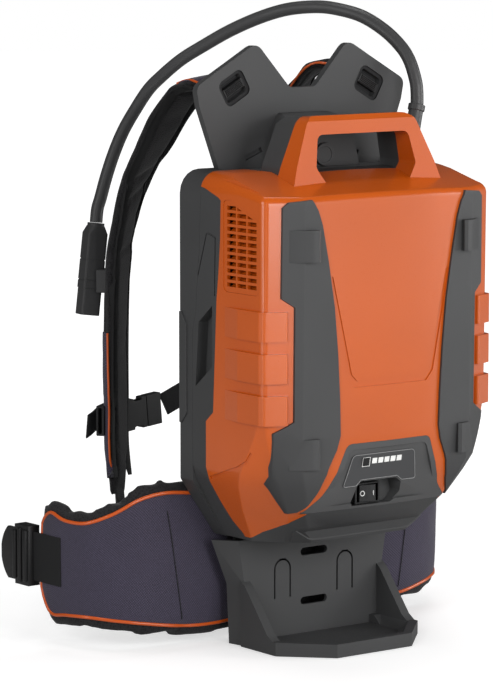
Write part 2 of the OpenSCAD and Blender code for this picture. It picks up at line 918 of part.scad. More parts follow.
module back_frame() {
    color("dimgray")
    difference() {
        intersection() {
            along_y(0, frame_y1)
                polygon(round_outline(frame_outline(), frame_rounds, 5));
            behind_border(-run_gap);
        }
        // tray open to the front, with ribs beside the yoke's blade
        difference() {
            along_y(-1, web_y)
                polygon(round_outline(inset_outline(frame_outline(), rim_w), frame_rounds, 5));
            along_y(frame_y0, web_y + 1) {
                for (s = [-1, 1])
                    translate([s * (blade_hw + run_gap + 2) - 2, 215])
                        square([4, rear_top - 72 - 215]);
                translate([0, 205])
                    square([far, 3], center = true);
            }
            screw_holes(frame_screw_at, 12, -10, web_y + 1);
        }
        // mouth for the yoke in the top rim
        along_y(-1, pocket_y)
            polygon([[-tail_hw(rear_top - 40), rear_top - 40], [tail_hw(rear_top - 40), rear_top - 40],
                [tail_hw(rear_top + 2), rear_top + 2], [-tail_hw(rear_top + 2), rear_top + 2]]);
        // seats of the bracket's tongues in the bottom rim
        for (s = [-1, 1])
            translate([s * 46 - 17 - seat_gap, tongue_y0 - seat_gap, body_z0 - 10])
                cube([34 + 2 * seat_gap, tongue_y1 - tongue_y0 + 2 * seat_gap, 50]);
        screw_holes(frame_screw_at, screw_d + 0.4, -10, frame_y1 + 1);
        screw_holes(frame_screw_at, 9, frame_y1 - 2.5, frame_y1 + 1);
        screw_holes(bracket_screw_at, screw_d + 0.4, web_y - 1, frame_y1 + 1);
        screw_holes(bracket_screw_at, 9, frame_y1 - 2.5, frame_y1 + 1);
        // slots of the hip belt and of the lower straps
        along_y(web_y - 1, frame_y1 + 1)
            for (s = [-1, 1]) {
                translate([s * 104, 165])
                    square([5, 44], center = true);
                translate([s * lower_x, lower_z])
                    square([web_w + 4, 6], center = true);
            }
        // air slots between the back ribs
        along_y(web_y - 1, frame_y1 + 1)
            for (z = [250:30:430])
                for (s = [-1, 1])
                    translate([s * 84, z])
                        square([38, 8], center = true);
        both_sides()
            translate([half_w - 2.6, frame_y0 + 9, 0])
                insert_form(seat_gap, 10);
    }
}
// Half width of the mouth in the frame at height z
function tail_hw(z) = 107 + run_gap + (z - rear_top) * 0.45;

// Chamfered insert on the frame's edge, seen from the side
module insert_form(g, w) {
    rotate([90, 0, 90])
        linear_extrude(w)
            polygon(inset_outline(
                [[0, 240], [9, 230], [20, 230], [20, 342], [9, 342], [0, 330]], -g));
}
module frame_insert() {
    color([0.22, 0.22, 0.22])
    intersection() {
        translate([half_w - 2.6 + seat_gap, frame_y0 + 9, 0])
            insert_form(0, 4.2);
        along_y(frame_y0, frame_y1 - seat_gap)
            square([far * 2, far * 4], center = true);
    }
}
module right_frame_insert() { frame_insert(); }
module left_frame_insert() { left_side() frame_insert(); }

module screw(l) {
    union() {
        cylinder(d = 7.4, h = 2.4);
        translate([0, 0, -l])
            cylinder(d = screw_d - 0.1, h = l + 1);
    }
}
module frame_screws() {
    color("silver")
    for (p = frame_screw_at)
        translate([p[0], frame_y1 - 2.5, p[1]])
            rotate([-90, 0, 0])
                screw(frame_y1 - 2.5 - boss_y - 5);
}
module bracket_screws() {
    color("silver")
    for (p = bracket_screw_at)
        translate([p[0], frame_y1 - 2.5, p[1]])
            rotate([-90, 0, 0])
                screw(web_t + 4);
}

// ---------- foot bracket ----------

// Half section of the wall: front face, then the flange that flares back
function wall_section(z, d) =
    let (
        front = lookup(z, [[0, foot_w / 2 - 4], [60, foot_w / 2 - 4], [wall_h, foot_w / 2 + 4]]),
        back = lookup(z, [[0, foot_w / 2], [62, foot_w / 2 + 3], [wall_h, foot_w / 2 + 22]])
    )
    [[-back + d, flange_d + (d > 0 ? 1 : 0)], [-front + d * 0.8, d], [front - d * 0.8, d],
        [back - d, flange_d + (d > 0 ? 1 : 0)]];
module foot_wall() {
    difference() {
        skin([for (z = [0, 62, wall_h]) at_z(wall_section(z, 0), z)]);
        skin([for (z = [wall_t, 62, wall_h + 1]) at_z(wall_section(z, wall_t), z)]);
    }
}
foot_corner = 44;
module foot_plan(g) {
    hw = foot_w / 2;
    polygon(inset_outline([
        [-hw, 1], [-hw, -foot_reach + foot_corner], [-hw + foot_corner, -foot_reach],
        [hw - foot_corner, -foot_reach], [hw, -foot_reach + foot_corner], [hw, 1]
    ], g));
}
module gusset_plate() {
    translate([foot_w / 2 - 10, 0, 0])
        rotate([90, 0, 90])
            linear_extrude(10)
                polygon([[2, 0], [2, 68], [-6, 62], [-42, 19], [-52, lip_h - 1], [-52, 0]]);
}
tongue_x = 40.3;
module snap_slit() {
    r = tongue_w / 2;
    translate([tongue_x, 0]) {
        difference() {
            union() {
                translate([0, 74])
                    circle(r + slit);
                translate([-r - slit, 44])
                    square([2 * (r + slit), 30]);
            }
            translate([0, 74])
                circle(r);
            translate([-r, 40])
                square([2 * r, 34]);
        }
        translate([-4, 74 + r])
            square([8, slit + 1.6]);
    }
}
module foot_bracket() {
    floor_t = 5;
    color("dimgray")
    union() {
        difference() {
            union() {
                foot_wall();
                difference() {
                    linear_extrude(lip_h)
                        foot_plan(0);
                    // sloping dish inside the lip
                    hull() {
                        translate([0, 0, floor_t])
                            linear_extrude(eps)
                                foot_plan(19);
                        translate([0, 0, lip_h + 1])
                            linear_extrude(eps)
                                foot_plan(8);
                    }
                    translate([-foot_w / 2 + 19, -40, floor_t])
                        cube([foot_w - 38, 60, far]);
                }
                both_sides()
                    gusset_plate();
            }
            // rounded slots in the middle of the wall
            along_y(-1, wall_t + 1)
                for (z = [38, 89])
                    union() {
                        translate([0, z])
                            square([26, 8], center = true);
                        for (s = [-1, 1])
                            translate([s * 13, z])
                                circle(4);
                    }
            along_y(-1, wall_t + 1) {
                snap_slit();
                mirror([1, 0])
                    snap_slit();
            }
        }
        // shelf and tongues that carry the frame
        for (s = [-1, 1])
            difference() {
                translate([s * 46 - 17, 0, wall_h - 24])
                    union() {
                        cube([34, tongue_y1, 22]);
                        translate([0, tongue_y0, 0])
                            cube([34, tongue_y1 - tongue_y0, 66]);
                    }
                screw_holes(bracket_screw_at, screw_d, tongue_y0 - 1, tongue_y1 + 1);
            }
    }
}

// ---------- yoke ----------

stem_front = -14;
stem_hw0 = 49;
notch_z = 466;
wing_h = yoke_top - rear_top;
wing_tip = [58, yoke_top];
wing_corner = [yoke_hw, rear_top + 0.661 * wing_h];
neck_low = [16, rear_top + 0.629 * wing_h];
function yoke_half() = [
    [blade_hw, 255], [blade_hw, rear_top - 66], [tail_hw(rear_top - 30) - 2, rear_top - 30],
    [tail_hw(rear_top) - 2, rear_top], [yoke_hw - 4, rear_top + 0.5 * wing_h],
    wing_corner, wing_tip, neck_low
];
function yoke_outline() = concat(yoke_half(), mirrored(yoke_half()));
yoke_rounds = [3, 6, 10, 20, 20, 9, 11, 9, 9, 11, 9, 20, 20, 10, 6, 3];
// A webbing window lies along the upper edge of its wing
wing_edge = unit(wing_corner - wing_tip);
window_turn = atan2(wing_edge[1], wing_edge[0]);
window_at = wing_tip + wing_edge * 46 + [wing_edge[1], -wing_edge[0]] * 25.2;
window_rim = 3.5;
module yoke_window(g) {
    w = window_w / 2;
    h = window_h / 2;
    translate(window_at)
        rotate(window_turn)
            polygon(round_outline(inset_outline([[-w, -h], [w, -h], [w, h], [-w, h]], -g),
                [3 + g, 3 + g, 3 + g, 3 + g], 4));
}
module yoke_plate() {
    stem_top = rear_top + 53;
    slot_depth = 3.5;
    color("dimgray")
    difference() {
        union() {
            along_y(yoke_y0, yoke_y0 + yoke_t)
                polygon(round_outline(yoke_outline(), yoke_rounds, 4));
            // hollow stem in the middle, standing forward of the plate
            intersection() {
                along_y(stem_front, yoke_y0 + 1)
                    polygon(round_outline([[-stem_hw0, notch_z + 3], [stem_hw0, notch_z + 3],
                        [stem_hw0 - 15, stem_top], [15 - stem_hw0, stem_top]], [2, 2, 8, 8], 4));
                across_x(far)
                    polygon([[stem_front, notch_z], [stem_front, stem_top - 8],
                        [yoke_y0 + 1, stem_top + 1], [yoke_y0 + 1, notch_z]]);
            }
        }
        translate([-30, stem_front + 4, notch_z])
            cube([60, yoke_y0 - stem_front - 4, 50]);
        translate([0, stem_front - 1, button_z])
            rotate([-90, 0, 0])
                cylinder(d = knob_d + 2 * run_gap, h = 12);
        // rim of the windows is sunk and the window goes through
        along_y(yoke_y0 - 1, yoke_y0 + 1.6) {
            yoke_window(window_rim);
            mirror([1, 0])
                yoke_window(window_rim);
        }
        along_y(yoke_y0 - 1, yoke_y0 + yoke_t + 1) {
            yoke_window(0);
            mirror([1, 0])
                yoke_window(0);
        }
        // slanted recesses beside the stem
        along_y(yoke_y0 - 1, yoke_y0 + slot_depth)
            both_sides()
                translate([62, rear_top + 13])
                    rotate(-22)
                        square([22, 5], center = true);
        // row of lock holes in the blade
        screw_holes([for (i = [0:3]) [0, 290 + i * yoke_travel / 4]], 7, yoke_y0 - 1, yoke_y0 + yoke_t + 1);
    }
}
// Ribbed bars that the webbing is threaded round
module yoke_bar() {
    bar_w = window_w - 2 * seat_gap;
    bar_h = 9;
    rib_pitch = 1.7;
    translate([window_at[0], yoke_y0 + yoke_t / 2, window_at[1]])
        rotate([0, -window_turn, 0]) {
            translate([-bar_w / 2, -3, -bar_h / 2])
                cube([bar_w, 6, bar_h]);
            for (i = [-2:2])
                translate([2 - bar_w / 2, -3, i * rib_pitch])
                    rotate([0, 90, 0])
                        cylinder(r = 0.7, h = bar_w - 4, $fn = 16);
        }
}
module yoke_bars() {
    color([0.1, 0.1, 0.1])
    both_sides()
        yoke_bar();
}
button_z = 495;
lock_travel = 3;
module height_button() {
    color("dimgray")
    translate([0, stem_front - lock_travel - 0.5, button_z])
        rotate([-90, 0, 0])
            difference() {
                union() {
                    cylinder(d = knob_d, h = lock_travel + 4.5);
                    cylinder(d = 8, h = yoke_y0 - stem_front - 2);
                }
                translate([0, 0, -1])
                    cylinder(d = knob_d - 7, h = 2);
            }
}

// ---------- power cable and connector ----------

plug_tilt = 7;
plug_turn = -17;
plug_at = [-102, 250, 365];
plug_dir = [sin(plug_tilt), 0, cos(plug_tilt)];
collar_top = 47;
cable_route = [
    [129, -5, 540], [130, -3.5, 553], [130, -1, 565], [128, 6, 584], [124, 16, 599],
    [117, 34, 615], [106, 57, 629], [94, 83, 636], [84, 106, 638], [68, 134, 635],
    [51, 160, 626], [30, 184, 612], [7, 203, 595], [-12, 215, 581], [-31, 225, 563],
    [-43, 230, 550], [-55, 236, 530], [-67, 241, 508], [-77, 244.5, 484], [-85, 247, 460],
    [-91, 249, 438], plug_at + plug_dir * (collar_top + 15), plug_at + plug_dir * (collar_top + 0.6)
];
boot_foot = [111.9, -8.7, rear_top - 3];
boot_d = 15;
boot_dir = cable_route[0] - boot_foot;
module boot_place() {
    translate(boot_foot)
        rotate([0, 0, atan2(boot_dir[1], boot_dir[0])])
            rotate([0, atan2(norm([boot_dir[0], boot_dir[1]]), boot_dir[2]), 0])
                children();
}
// Tapered sleeve round the cable's end, moved outwards by g
module boot_sleeve(g) {
    boot_place()
        translate([0, 0, -10 - g])
            cylinder(d1 = boot_d + 3 + 2 * g, d2 = boot_d + 2 * g, h = norm(boot_dir) + 4 + g);
}
module cable_boot() {
    collar_h = 6.5;
    color([0.15, 0.15, 0.15])
    union() {
        boot_sleeve(0);
        boot_place()
            translate([0, 0, norm(boot_dir) - collar_h])
                cylinder(d = boot_d + 2.5, h = collar_h);
    }
}

// Smooth curve through the route: Catmull-Rom with n steps a span
function spline_at(p, i, t) =
    let (
        a = p[max(i - 1, 0)],
        b = p[i],
        c = p[i + 1],
        d = p[min(i + 2, len(p) - 1)]
    )
    0.5 * (2 * b + (c - a) * t + (2 * a - 5 * b + 4 * c - d) * t * t
        + (3 * b - a - 3 * c + d) * t * t * t);
function spline(p, n) = concat(
    [for (i = [0:len(p) - 2]) for (k = [0:n - 1]) spline_at(p, i, k / n)],
    [p[len(p) - 1]]
);
function tangent(p, i) = unit(p[min(i + 1, len(p) - 1)] - p[max(i - 1, 0)]);
// Ring of a band: w wide along u, t thick, m points
function band_ring(c, u, v, w, t, m) =
    [for (k = [0:m - 1])
        let (a = 360 * (k + 0.5) / m, ca = cos(a), sa = sin(a))
        c + u * (w / 2 * sign(ca) * pow(abs(ca), 0.5)) + v * (t / 2 * sign(sa) * pow(abs(sa), 0.5))];
// Band along p; its width points along the direction at angle turns[i] in plan
module band(p, turns, w, t, m) {
    skin([for (i = [0:len(p) - 1])
        let (
            tan_i = tangent(p, i),
            flat = [cos(turns[i]), sin(turns[i]), 0],
            v = unit(cross(tan_i, flat)),
            u = unit(cross(v, tan_i))
        )
        band_ring(p[i], u, v, w[i], t[i], m)]);
}
module power_cable() {
    p = spline(cable_route, 2);
    color([0.2, 0.2, 0.2])
    skin([for (i = [0:len(p) - 1])
        let (
            t = tangent(p, i),
            u = unit(cross(t, [0.3, 1, 0])),
            v = cross(t, u)
        )
        [for (k = [0:9]) p[i] + (u * cos(36 * k) + v * sin(36 * k)) * cable_d / 2]]);
}

// Frame of the connector: z up along the cable, y away from the pack
module plug_place() {
    translate(plug_at)
        rotate([0, plug_tilt, 0])
            rotate([0, 0, plug_turn])
                children();
}
plug_w = 22;
plug_d = 24;
// Section of the connector, moved outwards by g
module plug_outline(g) {
    w = plug_w / 2;
    d = plug_d / 2;
    polygon(round_outline(inset_outline([[-w, -d], [w, -d], [w, d], [-w, d]], -g),
        [3, 3, 3, 3], 4));
}
body_low = -22;
body_high = 36;
latch_w = 14;
latch_h = 34;
latch_low = -14;
latch_t = 3.6;
module connector_body() {
    seam_w = 1.2;
    color([0.15, 0.15, 0.15])
    plug_place()
        difference() {
            union() {
                translate([0, 0, body_low])
                    linear_extrude(body_high - body_low)
                        plug_outline(0);
                hull() {
                    translate([0, 0, body_high - eps])
                        linear_extrude(eps)
                            plug_outline(0);
                    translate([0, 0, body_high + 8])
                        cylinder(d = 19, h = eps, $fn = 32);
                }
                cylinder(d = 18, h = collar_top);
            }
            // shallow grooves between the segments
            for (z = [latch_low, 8])
                translate([0, 0, z])
                    linear_extrude(seam_w)
                        difference() {
                            plug_outline(1);
                            plug_outline(-0.6);
                        }
            // seat of the latch
            translate([-latch_w / 2 - run_gap, plug_d / 2 - 5.6, latch_low - 2 - run_gap])
                cube([latch_w + 2 * run_gap, 12, latch_h + 2 + 2 * run_gap]);
        }
}
module connector_nose() {
    nose_l = 28;
    color([0.12, 0.12, 0.12])
    plug_place()
        difference() {
            translate([0, 0, body_low - nose_l])
                linear_extrude(nose_l - seat_gap)
                    plug_outline(-0.6);
            translate([0, 0, body_low - nose_l - 1])
                linear_extrude(nose_l - 1)
                    square([plug_w - 7, plug_d - 7], center = true);
        }
}
module connector_latch() {
    color([0.2, 0.2, 0.2])
    plug_place()
        union() {
            translate([-latch_w / 2, plug_d / 2 - latch_t / 2, latch_low])
                cube([latch_w, latch_t, latch_h]);
            translate([-latch_w / 2, plug_d / 2, latch_low])
                rotate([0, 90, 0])
                    cylinder(d = latch_t, h = latch_w);
            for (z = [6:4:18])
                translate([1 - latch_w / 2, plug_d / 2 + latch_t / 2 - 0.2, z])
                    cube([latch_w - 2, 1.2, 1.6]);
        }
}
// Cradle on the left strap; the connector's edge lies in its groove
module connector_holder() {
    color([0.1, 0.1, 0.1])
    difference() {
        translate([-strap_x, 222, 352])
            rotate([0, 0, strap_lean])
                translate([-8, strap_out + 1, -12])
                    cube([24, 13, 24]);
        plug_place()
            translate([0, 0, -60])
                linear_extrude(120)
                    plug_outline(run_gap);
    }
}

// ---------- shoulder straps ----------

strap_x = 90;
strap_lean = 38;
strap_out = strap_t / 2 + 0.5;
strap_y0 = yoke_y0 + yoke_t + 2.8;
// The upper stretches differ: the right strap has tipped inwards. Each point comes with
// the turn of the strap's width in plan.
left_top = [
    [[84, strap_y0, yoke_top - 55], -2], [[86, 60, yoke_top - 39], -4], [[88, 92, yoke_top - 44], -7],
    [[90, 127, 533], -12], [[90, 155, 500], -19], [[90, 179, 474], -26]
];
right_top = [
    [[84, strap_y0 + 2, yoke_top - 55], -2], [[87, 44, yoke_top - 34], 10],
    [[81, 62, yoke_top - 25], 28], [[70, 84, yoke_top - 26], 38],
    [[65, 108, 563], 40], [[69, 136, 532], 20], [[80, 160, 502], 0], [[88, 180, 474], -20]
];
strap_low = [
    [[strap_x, 194, 449], -31], [[strap_x, 206, 421], -36], [[strap_x, 218, 388], -strap_lean],
    [[strap_x, 223, 340], -strap_lean], [[strap_x, 225, 280], -strap_lean],
    [[strap_x, 225, 226], -strap_lean], [[strap_x, 225, 175], -strap_lean], [[strap_x, 217, 121], -36]
];
module shoulder_strap(top) {
    route = concat(top, strap_low);
    n = len(route);
    color([0.12, 0.12, 0.13])
    band(
        [for (r = route) r[0]],
        [for (r = route) r[1]],
        [for (i = [0:n - 1]) i < 2 ? strap_w - 10 : (i > n - 3 ? strap_w - 18 + 8 * (n - 1 - i) : strap_w)],
        [for (i = [0:n - 1]) i == 0 || i == n - 1 ? strap_t - 4 : strap_t],
        8
    );
}
module right_shoulder_strap() {
    shoulder_strap(right_top);
}
module left_shoulder_strap() {
    left_side()
        shoulder_strap(left_top);
}

adjuster_at = [strap_x, 213, 102];
module adjuster() {
    color([0.1, 0.1, 0.1])
    translate(adjuster_at)
        rotate([10, 0, -36])
            difference() {
                translate([-18, -4, -14])
                    cube([36, 8, 30]);
                for (z = [-8, 4])
                    translate([-web_w / 2 - 1, -5, z])
                        cube([web_w + 2, 10, 4.4]);
            }
}
module right_adjuster() { adjuster(); }
module left_adjuster() { left_side() adjuster(); }

lower_x = 80;
lower_z = 186;
lower_route = [
    [lower_x, web_y + 1, lower_z], [lower_x, frame_y1 + 2, lower_z - 0.5],
    [lower_x, frame_y1 + 18, lower_z - 12],
    [82, 84, 138], [86, 130, 100], [88, 170, 84], [89, 194, 78], [89.5, 205.5, 83.5]
];
module lower_webbing() {
    n = len(lower_route);
    color([0.1, 0.1, 0.1])
    band(
        lower_route, [0, 0, 0, 0, -5, -15, -25, -34],
        [for (i = [1:n]) web_w], [for (i = [1:n]) web_th], 8
    );
}
module right_lower_webbing() { lower_webbing(); }
module left_lower_webbing() { left_side() lower_webbing(); }

// ---------- chest strap ----------

slider_z = [206, 250];
module chest_slider(side, z) {
    color([0.1, 0.1, 0.1])
    translate([side * strap_x, 225, z])
        rotate([0, 0, -side * strap_lean])
            difference() {
                translate([-21, strap_out, -16])
                    cube([42, 9, 32]);
                translate([-22, strap_out + 3, -web_w / 2 - 1])
                    cube([44, 3, web_w + 2]);
            }
}
module left_chest_slider() { chest_slider(-1, slider_z[0]); }
module right_chest_slider() { chest_slider(1, slider_z[1]); }

module flat_link(a, b, w, t) {
    d = b - a;
    l = norm(d);
    translate(a)
        rotate([0, -atan2(d[2], norm([d[0], d[1]])), atan2(d[1], d[0])])
            translate([0, -t / 2, -w / 2])
                cube([l, t, w]);
}
buckle_l = [-62, 256, 202];
buckle_r = [-8, 262, 207];
module buckle_frame() {
    d = buckle_r - buckle_l;
    translate(buckle_l)
        rotate([0, -atan2(d[2], norm([d[0], d[1]])), atan2(d[1], d[0])])
            children();
}
module left_chest_webbing() {
    color([0.12, 0.12, 0.12])
    flat_link([-76.5, 248.4, 203.2], buckle_l + [-2.5, -1, 0.2], web_w, web_th);
}
module right_chest_webbing() {
    color([0.12, 0.12, 0.12])
    flat_link(buckle_r + [5.5, -1, 2.2], [74, 248.6, 245], web_w, web_th);
}
module chest_buckle_socket() {
    color([0.07, 0.07, 0.07])
    buckle_frame()
        difference() {
            translate([0, -5, -17])
                cube([34, 10, 34]);
            translate([8, -3, -14])
                cube([30, 6, 28]);
            for (s = [-1, 1])
                translate([16, -6, s * 17 - 3])
                    cube([11, 12, 6]);
        }
}
module chest_buckle_plug() {
    color([0.07, 0.07, 0.07])
    buckle_frame()
        union() {
            translate([34 + run_gap, -5, -17])
                cube([20, 10, 34]);
            translate([11, -2.4, -3])
                cube([26, 4.8, 6]);
            for (s = [-1, 1]) {
                translate([14, -2.4, s * 10.5 - 2])
                    cube([22, 4.8, 4]);
                translate([14, -2.4, s * 11.6 - 2])
                    cube([7, 4.8, 4]);
            }
        }
}

// ---------- hip belt ----------

hip_path = [
    [lumbar_hw + 0.6, 48], [98, 49], [130, 49], [160, 50], [186, 54], [205, 64], [219, 84], [225, 108],
    [226, 135], [225.5, 157]
];
hip_top = [158, 163, 168, 170, 164, 151, 141, 141, 147, 136];
hip_low = [9, 8, 9, 13, 17, 20, 22, 21, 20, 46];
module hip_pad() {
    n = len(hip_path);
    p = [for (i = [0:n - 1]) [hip_path[i][0], hip_path[i][1], (hip_top[i] + hip_low[i]) / 2]];
    color([0.3, 0.27, 0.33])
    skin([for (i = [0:n - 1])
        let (
            t = tangent(p, i),
            flat = unit([t[0], t[1], 0]),
            v = [flat[1], -flat[0], 0],
            h = hip_top[i] - hip_low[i]
        )
        band_ring(p[i], [0, 0, 1], v, h, i == 0 || i == n - 1 ? hip_t - 6 : hip_t, 8)]);
}
module right_hip_pad() { hip_pad(); }
module left_hip_pad() { left_side() hip_pad(); }
module lumbar_pad() {
    color([0.12, 0.12, 0.13])
    translate([0, frame_y1 + 0.6, 0])
        along_y(0, lumbar_t)
            pad_outline(lumbar_hw, lumbar_z0, lumbar_h, [14, 14, 20, 20]);
}
lumbar_z0 = 12;
module pad_outline(hw, z0, h, r) {
    polygon(round_outline([[-hw, z0], [hw, z0], [hw, z0 + h], [-hw, z0 + h]], r, 4));
}
module back_pads() {
    color([0.12, 0.12, 0.13])
    for (s = [-1, 1])
        translate([s * (back_pad_w / 2 + 14), frame_y1 + 0.6, 0])
            along_y(0, back_pad_t)
                pad_outline(back_pad_w / 2, 440 - back_pad_h, back_pad_h, [12, 12, 12, 12]);
}

// Webbing and buckle at the tip of each wing
tip = [hip_path[9][0] + hip_t / 2 + 0.6, 126, 86];
module tip_place(side) {
    translate([side * tip[0], tip[1], tip[2]])
        rotate([0, 0, side > 0 ? 88 : 92])
            children();
}
module hip_webbing() {
    color([0.1, 0.1, 0.1])
    for (s = [-1, 1])
        tip_place(s)
            translate([-14, s > 0 ? -web_th - 0.6 : 0.6, -belt_w / 2])
                cube([46, web_th, belt_w]);
}
module hip_buckle_socket() {
    color([0.07, 0.07, 0.07])
    tip_place(-1)
        translate([33, 0, 0])
            difference() {
                translate([0, -6, -31])
                    cube([48, 14, 62]);
                translate([16, -2, -27])
                    cube([40, 7, 54]);
                for (s = [-1, 1])
                    translate([24, -8, s * 31 - 4])
                        cube([14, 18, 8]);
            }
}
module hip_buckle_plug() {
    color([0.07, 0.07, 0.07])
    tip_place(1)
        translate([33, 0, 0])
            union() {
                translate([0, -8, -31])
                    cube([16, 14, 62]);
                translate([15, -4, -4])
                    cube([28, 6, 8]);
                for (s = [-1, 1]) {
                    translate([15, -4, s * 19 - 3])
                        cube([30, 6, 6]);
                    translate([32, -4, s * 22 - 3])
                        cube([10, 6, 6]);
                }
            }
}

front_cover();
left_vent_grille();
right_vent_grille();
rear_housing();
left_corner_guard();
right_corner_guard();
bottom_cover();
control_panel();
panel_label();
gauge_lights();
gauge_button();
switch_frame();
power_rocker();
cells();
front_cell_holder();
rear_cell_holder();
bus_strips();
management_board();
main_fuse();
back_frame();
left_frame_insert();
right_frame_insert();
frame_screws();
foot_bracket();
bracket_screws();
cable_boot();
power_cable();
connector_body();
connector_nose();
connector_latch();
connector_holder();
yoke_plate();
yoke_bars();
height_button();
left_shoulder_strap();
right_shoulder_strap();
left_adjuster();
right_adjuster();
left_lower_webbing();
right_lower_webbing();
left_chest_slider();
right_chest_slider();
left_chest_webbing();
right_chest_webbing();
chest_buckle_socket();
chest_buckle_plug();
back_pads();
lumbar_pad();
left_hip_pad();
right_hip_pad();
hip_webbing();
hip_buckle_socket();
hip_buckle_plug();
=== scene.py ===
import bpy
import json
import math
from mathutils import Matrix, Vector
from mathutils.bvhtree import BVHTree

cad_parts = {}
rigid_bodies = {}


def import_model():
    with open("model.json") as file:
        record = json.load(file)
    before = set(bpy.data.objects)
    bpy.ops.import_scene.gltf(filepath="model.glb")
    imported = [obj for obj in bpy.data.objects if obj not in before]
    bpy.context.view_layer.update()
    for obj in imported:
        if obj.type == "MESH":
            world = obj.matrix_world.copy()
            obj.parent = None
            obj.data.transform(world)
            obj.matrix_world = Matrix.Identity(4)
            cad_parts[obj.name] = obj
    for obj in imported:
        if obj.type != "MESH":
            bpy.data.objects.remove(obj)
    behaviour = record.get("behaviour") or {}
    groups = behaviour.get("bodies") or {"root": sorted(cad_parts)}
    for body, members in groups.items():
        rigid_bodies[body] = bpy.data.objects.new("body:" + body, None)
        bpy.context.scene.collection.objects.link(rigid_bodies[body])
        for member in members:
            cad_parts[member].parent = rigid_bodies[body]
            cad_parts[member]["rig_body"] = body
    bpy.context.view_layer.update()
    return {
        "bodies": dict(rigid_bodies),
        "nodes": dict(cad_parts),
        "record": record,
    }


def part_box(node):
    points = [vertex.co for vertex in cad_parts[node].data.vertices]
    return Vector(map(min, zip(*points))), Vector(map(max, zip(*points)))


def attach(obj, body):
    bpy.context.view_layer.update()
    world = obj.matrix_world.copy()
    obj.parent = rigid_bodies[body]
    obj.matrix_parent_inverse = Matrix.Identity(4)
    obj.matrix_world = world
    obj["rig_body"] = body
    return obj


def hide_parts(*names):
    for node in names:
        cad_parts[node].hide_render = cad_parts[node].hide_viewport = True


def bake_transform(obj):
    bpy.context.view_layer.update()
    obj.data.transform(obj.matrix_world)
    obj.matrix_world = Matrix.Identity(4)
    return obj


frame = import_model()
bodies, nodes = frame["bodies"], frame["nodes"]
print("frame loaded:", len(nodes), "nodes")

view = {
    "turn": -36.87,        # degrees round the upright axis
    "rise": 7.34,          # degrees above the horizon
    "distance": 3.48415,
    "target": (-0.08611, 0.0, 0.30189),
    "lens": 179.2,
    "sensor": 36,
}


def placeCamera():
    turn, rise = math.radians(view["turn"]), math.radians(view["rise"])
    back = Vector((math.sin(turn) * math.cos(rise), -math.cos(turn) * math.cos(rise), math.sin(rise)))
    camera = bpy.data.objects.new("camera", bpy.data.cameras.new("camera"))
    bpy.context.scene.collection.objects.link(camera)
    camera.location = Vector(view["target"]) + back * view["distance"]
    camera.rotation_euler = (-back).to_track_quat("-Z", "Y").to_euler()
    camera.data.lens = view["lens"]
    camera.data.sensor_width = view["sensor"]
    camera.data.sensor_fit = "AUTO"
    camera.data.clip_end = 50
    bpy.context.scene.camera = camera


cable = {
    "thick": 0.0135,
    "steps": 6,
    "sides": 20,
    "moves": (3, 13),      # the stretch of the route, from point to point, that arches over the yoke
    "route": [
        (0.129, -0.005, 0.540), (0.130, -0.0035, 0.553), (0.130, -0.001, 0.565), (0.128, 0.006, 0.584),
        (0.124, 0.016, 0.599), (0.117, 0.034, 0.615), (0.106, 0.057, 0.629), (0.094, 0.083, 0.636),
        (0.084, 0.106, 0.638), (0.068, 0.134, 0.635), (0.051, 0.160, 0.626), (0.030, 0.184, 0.612),
        (0.007, 0.203, 0.595), (-0.012, 0.215, 0.581), (-0.031, 0.225, 0.563), (-0.043, 0.230, 0.550),
        (-0.055, 0.236, 0.530), (-0.067, 0.241, 0.508), (-0.077, 0.2445, 0.484), (-0.085, 0.247, 0.460),
        (-0.091, 0.249, 0.438), (-0.0944, 0.250, 0.4265), (-0.0962, 0.250, 0.4122),
    ],
}

studio = {
    "key": {"at": (0.0, -2.8, 0.85), "aim": (0, 0, 0.3), "size": (1.6, 1.6), "power": 44, "mirrored": True},
    "right": {"at": (2.4, -1.1, 0.8), "aim": (0, 0, 0.3), "size": (1.0, 1.4), "power": 24, "mirrored": True},
    "side": {"at": (-2.3, 0.15, 0.75), "aim": (-0.05, 0, 0.3), "size": (0.40, 1.8), "power": 11, "mirrored": True},
    "left": {"at": (-2.1, -1.3, 1.1), "aim": (-0.05, 0, 0.3), "size": (0.8, 0.8), "power": 19, "mirrored": False},
    "strip": {"at": (-1.95, -1.55, 0.6), "aim": (-0.05, 0, 0.3), "size": (0.30, 2.6), "power": 5, "mirrored": True},
    "card": {"at": (1.25, -1.75, 0.72), "aim": (0, -0.1, 0.4), "size": (1.5, 1.4), "power": 5.5, "mirrored": True},
    "top": {"at": (0.0, 0.3, 2.3), "aim": (0, 0, 0.4), "size": (1.5, 0.3), "power": 9, "mirrored": True},
    "rim": {"at": (1.7, 1.9, 1.7), "aim": (0, 0, 0.45), "size": (1.7, 0.40), "power": 20, "mirrored": False},
    "sky": 0.25,           # how bright the room lights the piece
    "mirrored": 0.05,      # how bright the room looks in glossy surfaces
    "floor": {"seen": 0.95, "bounce": 0.50, "radius": 14, "below": 0.0005, "rough": 0.9},
    "glow": {"near": 2.25, "far": 4.6, "share": 0.2, "from": 0.8, "to": 3.5},
}
lampNames = ("key", "right", "side", "left", "strip", "card", "top", "rim")


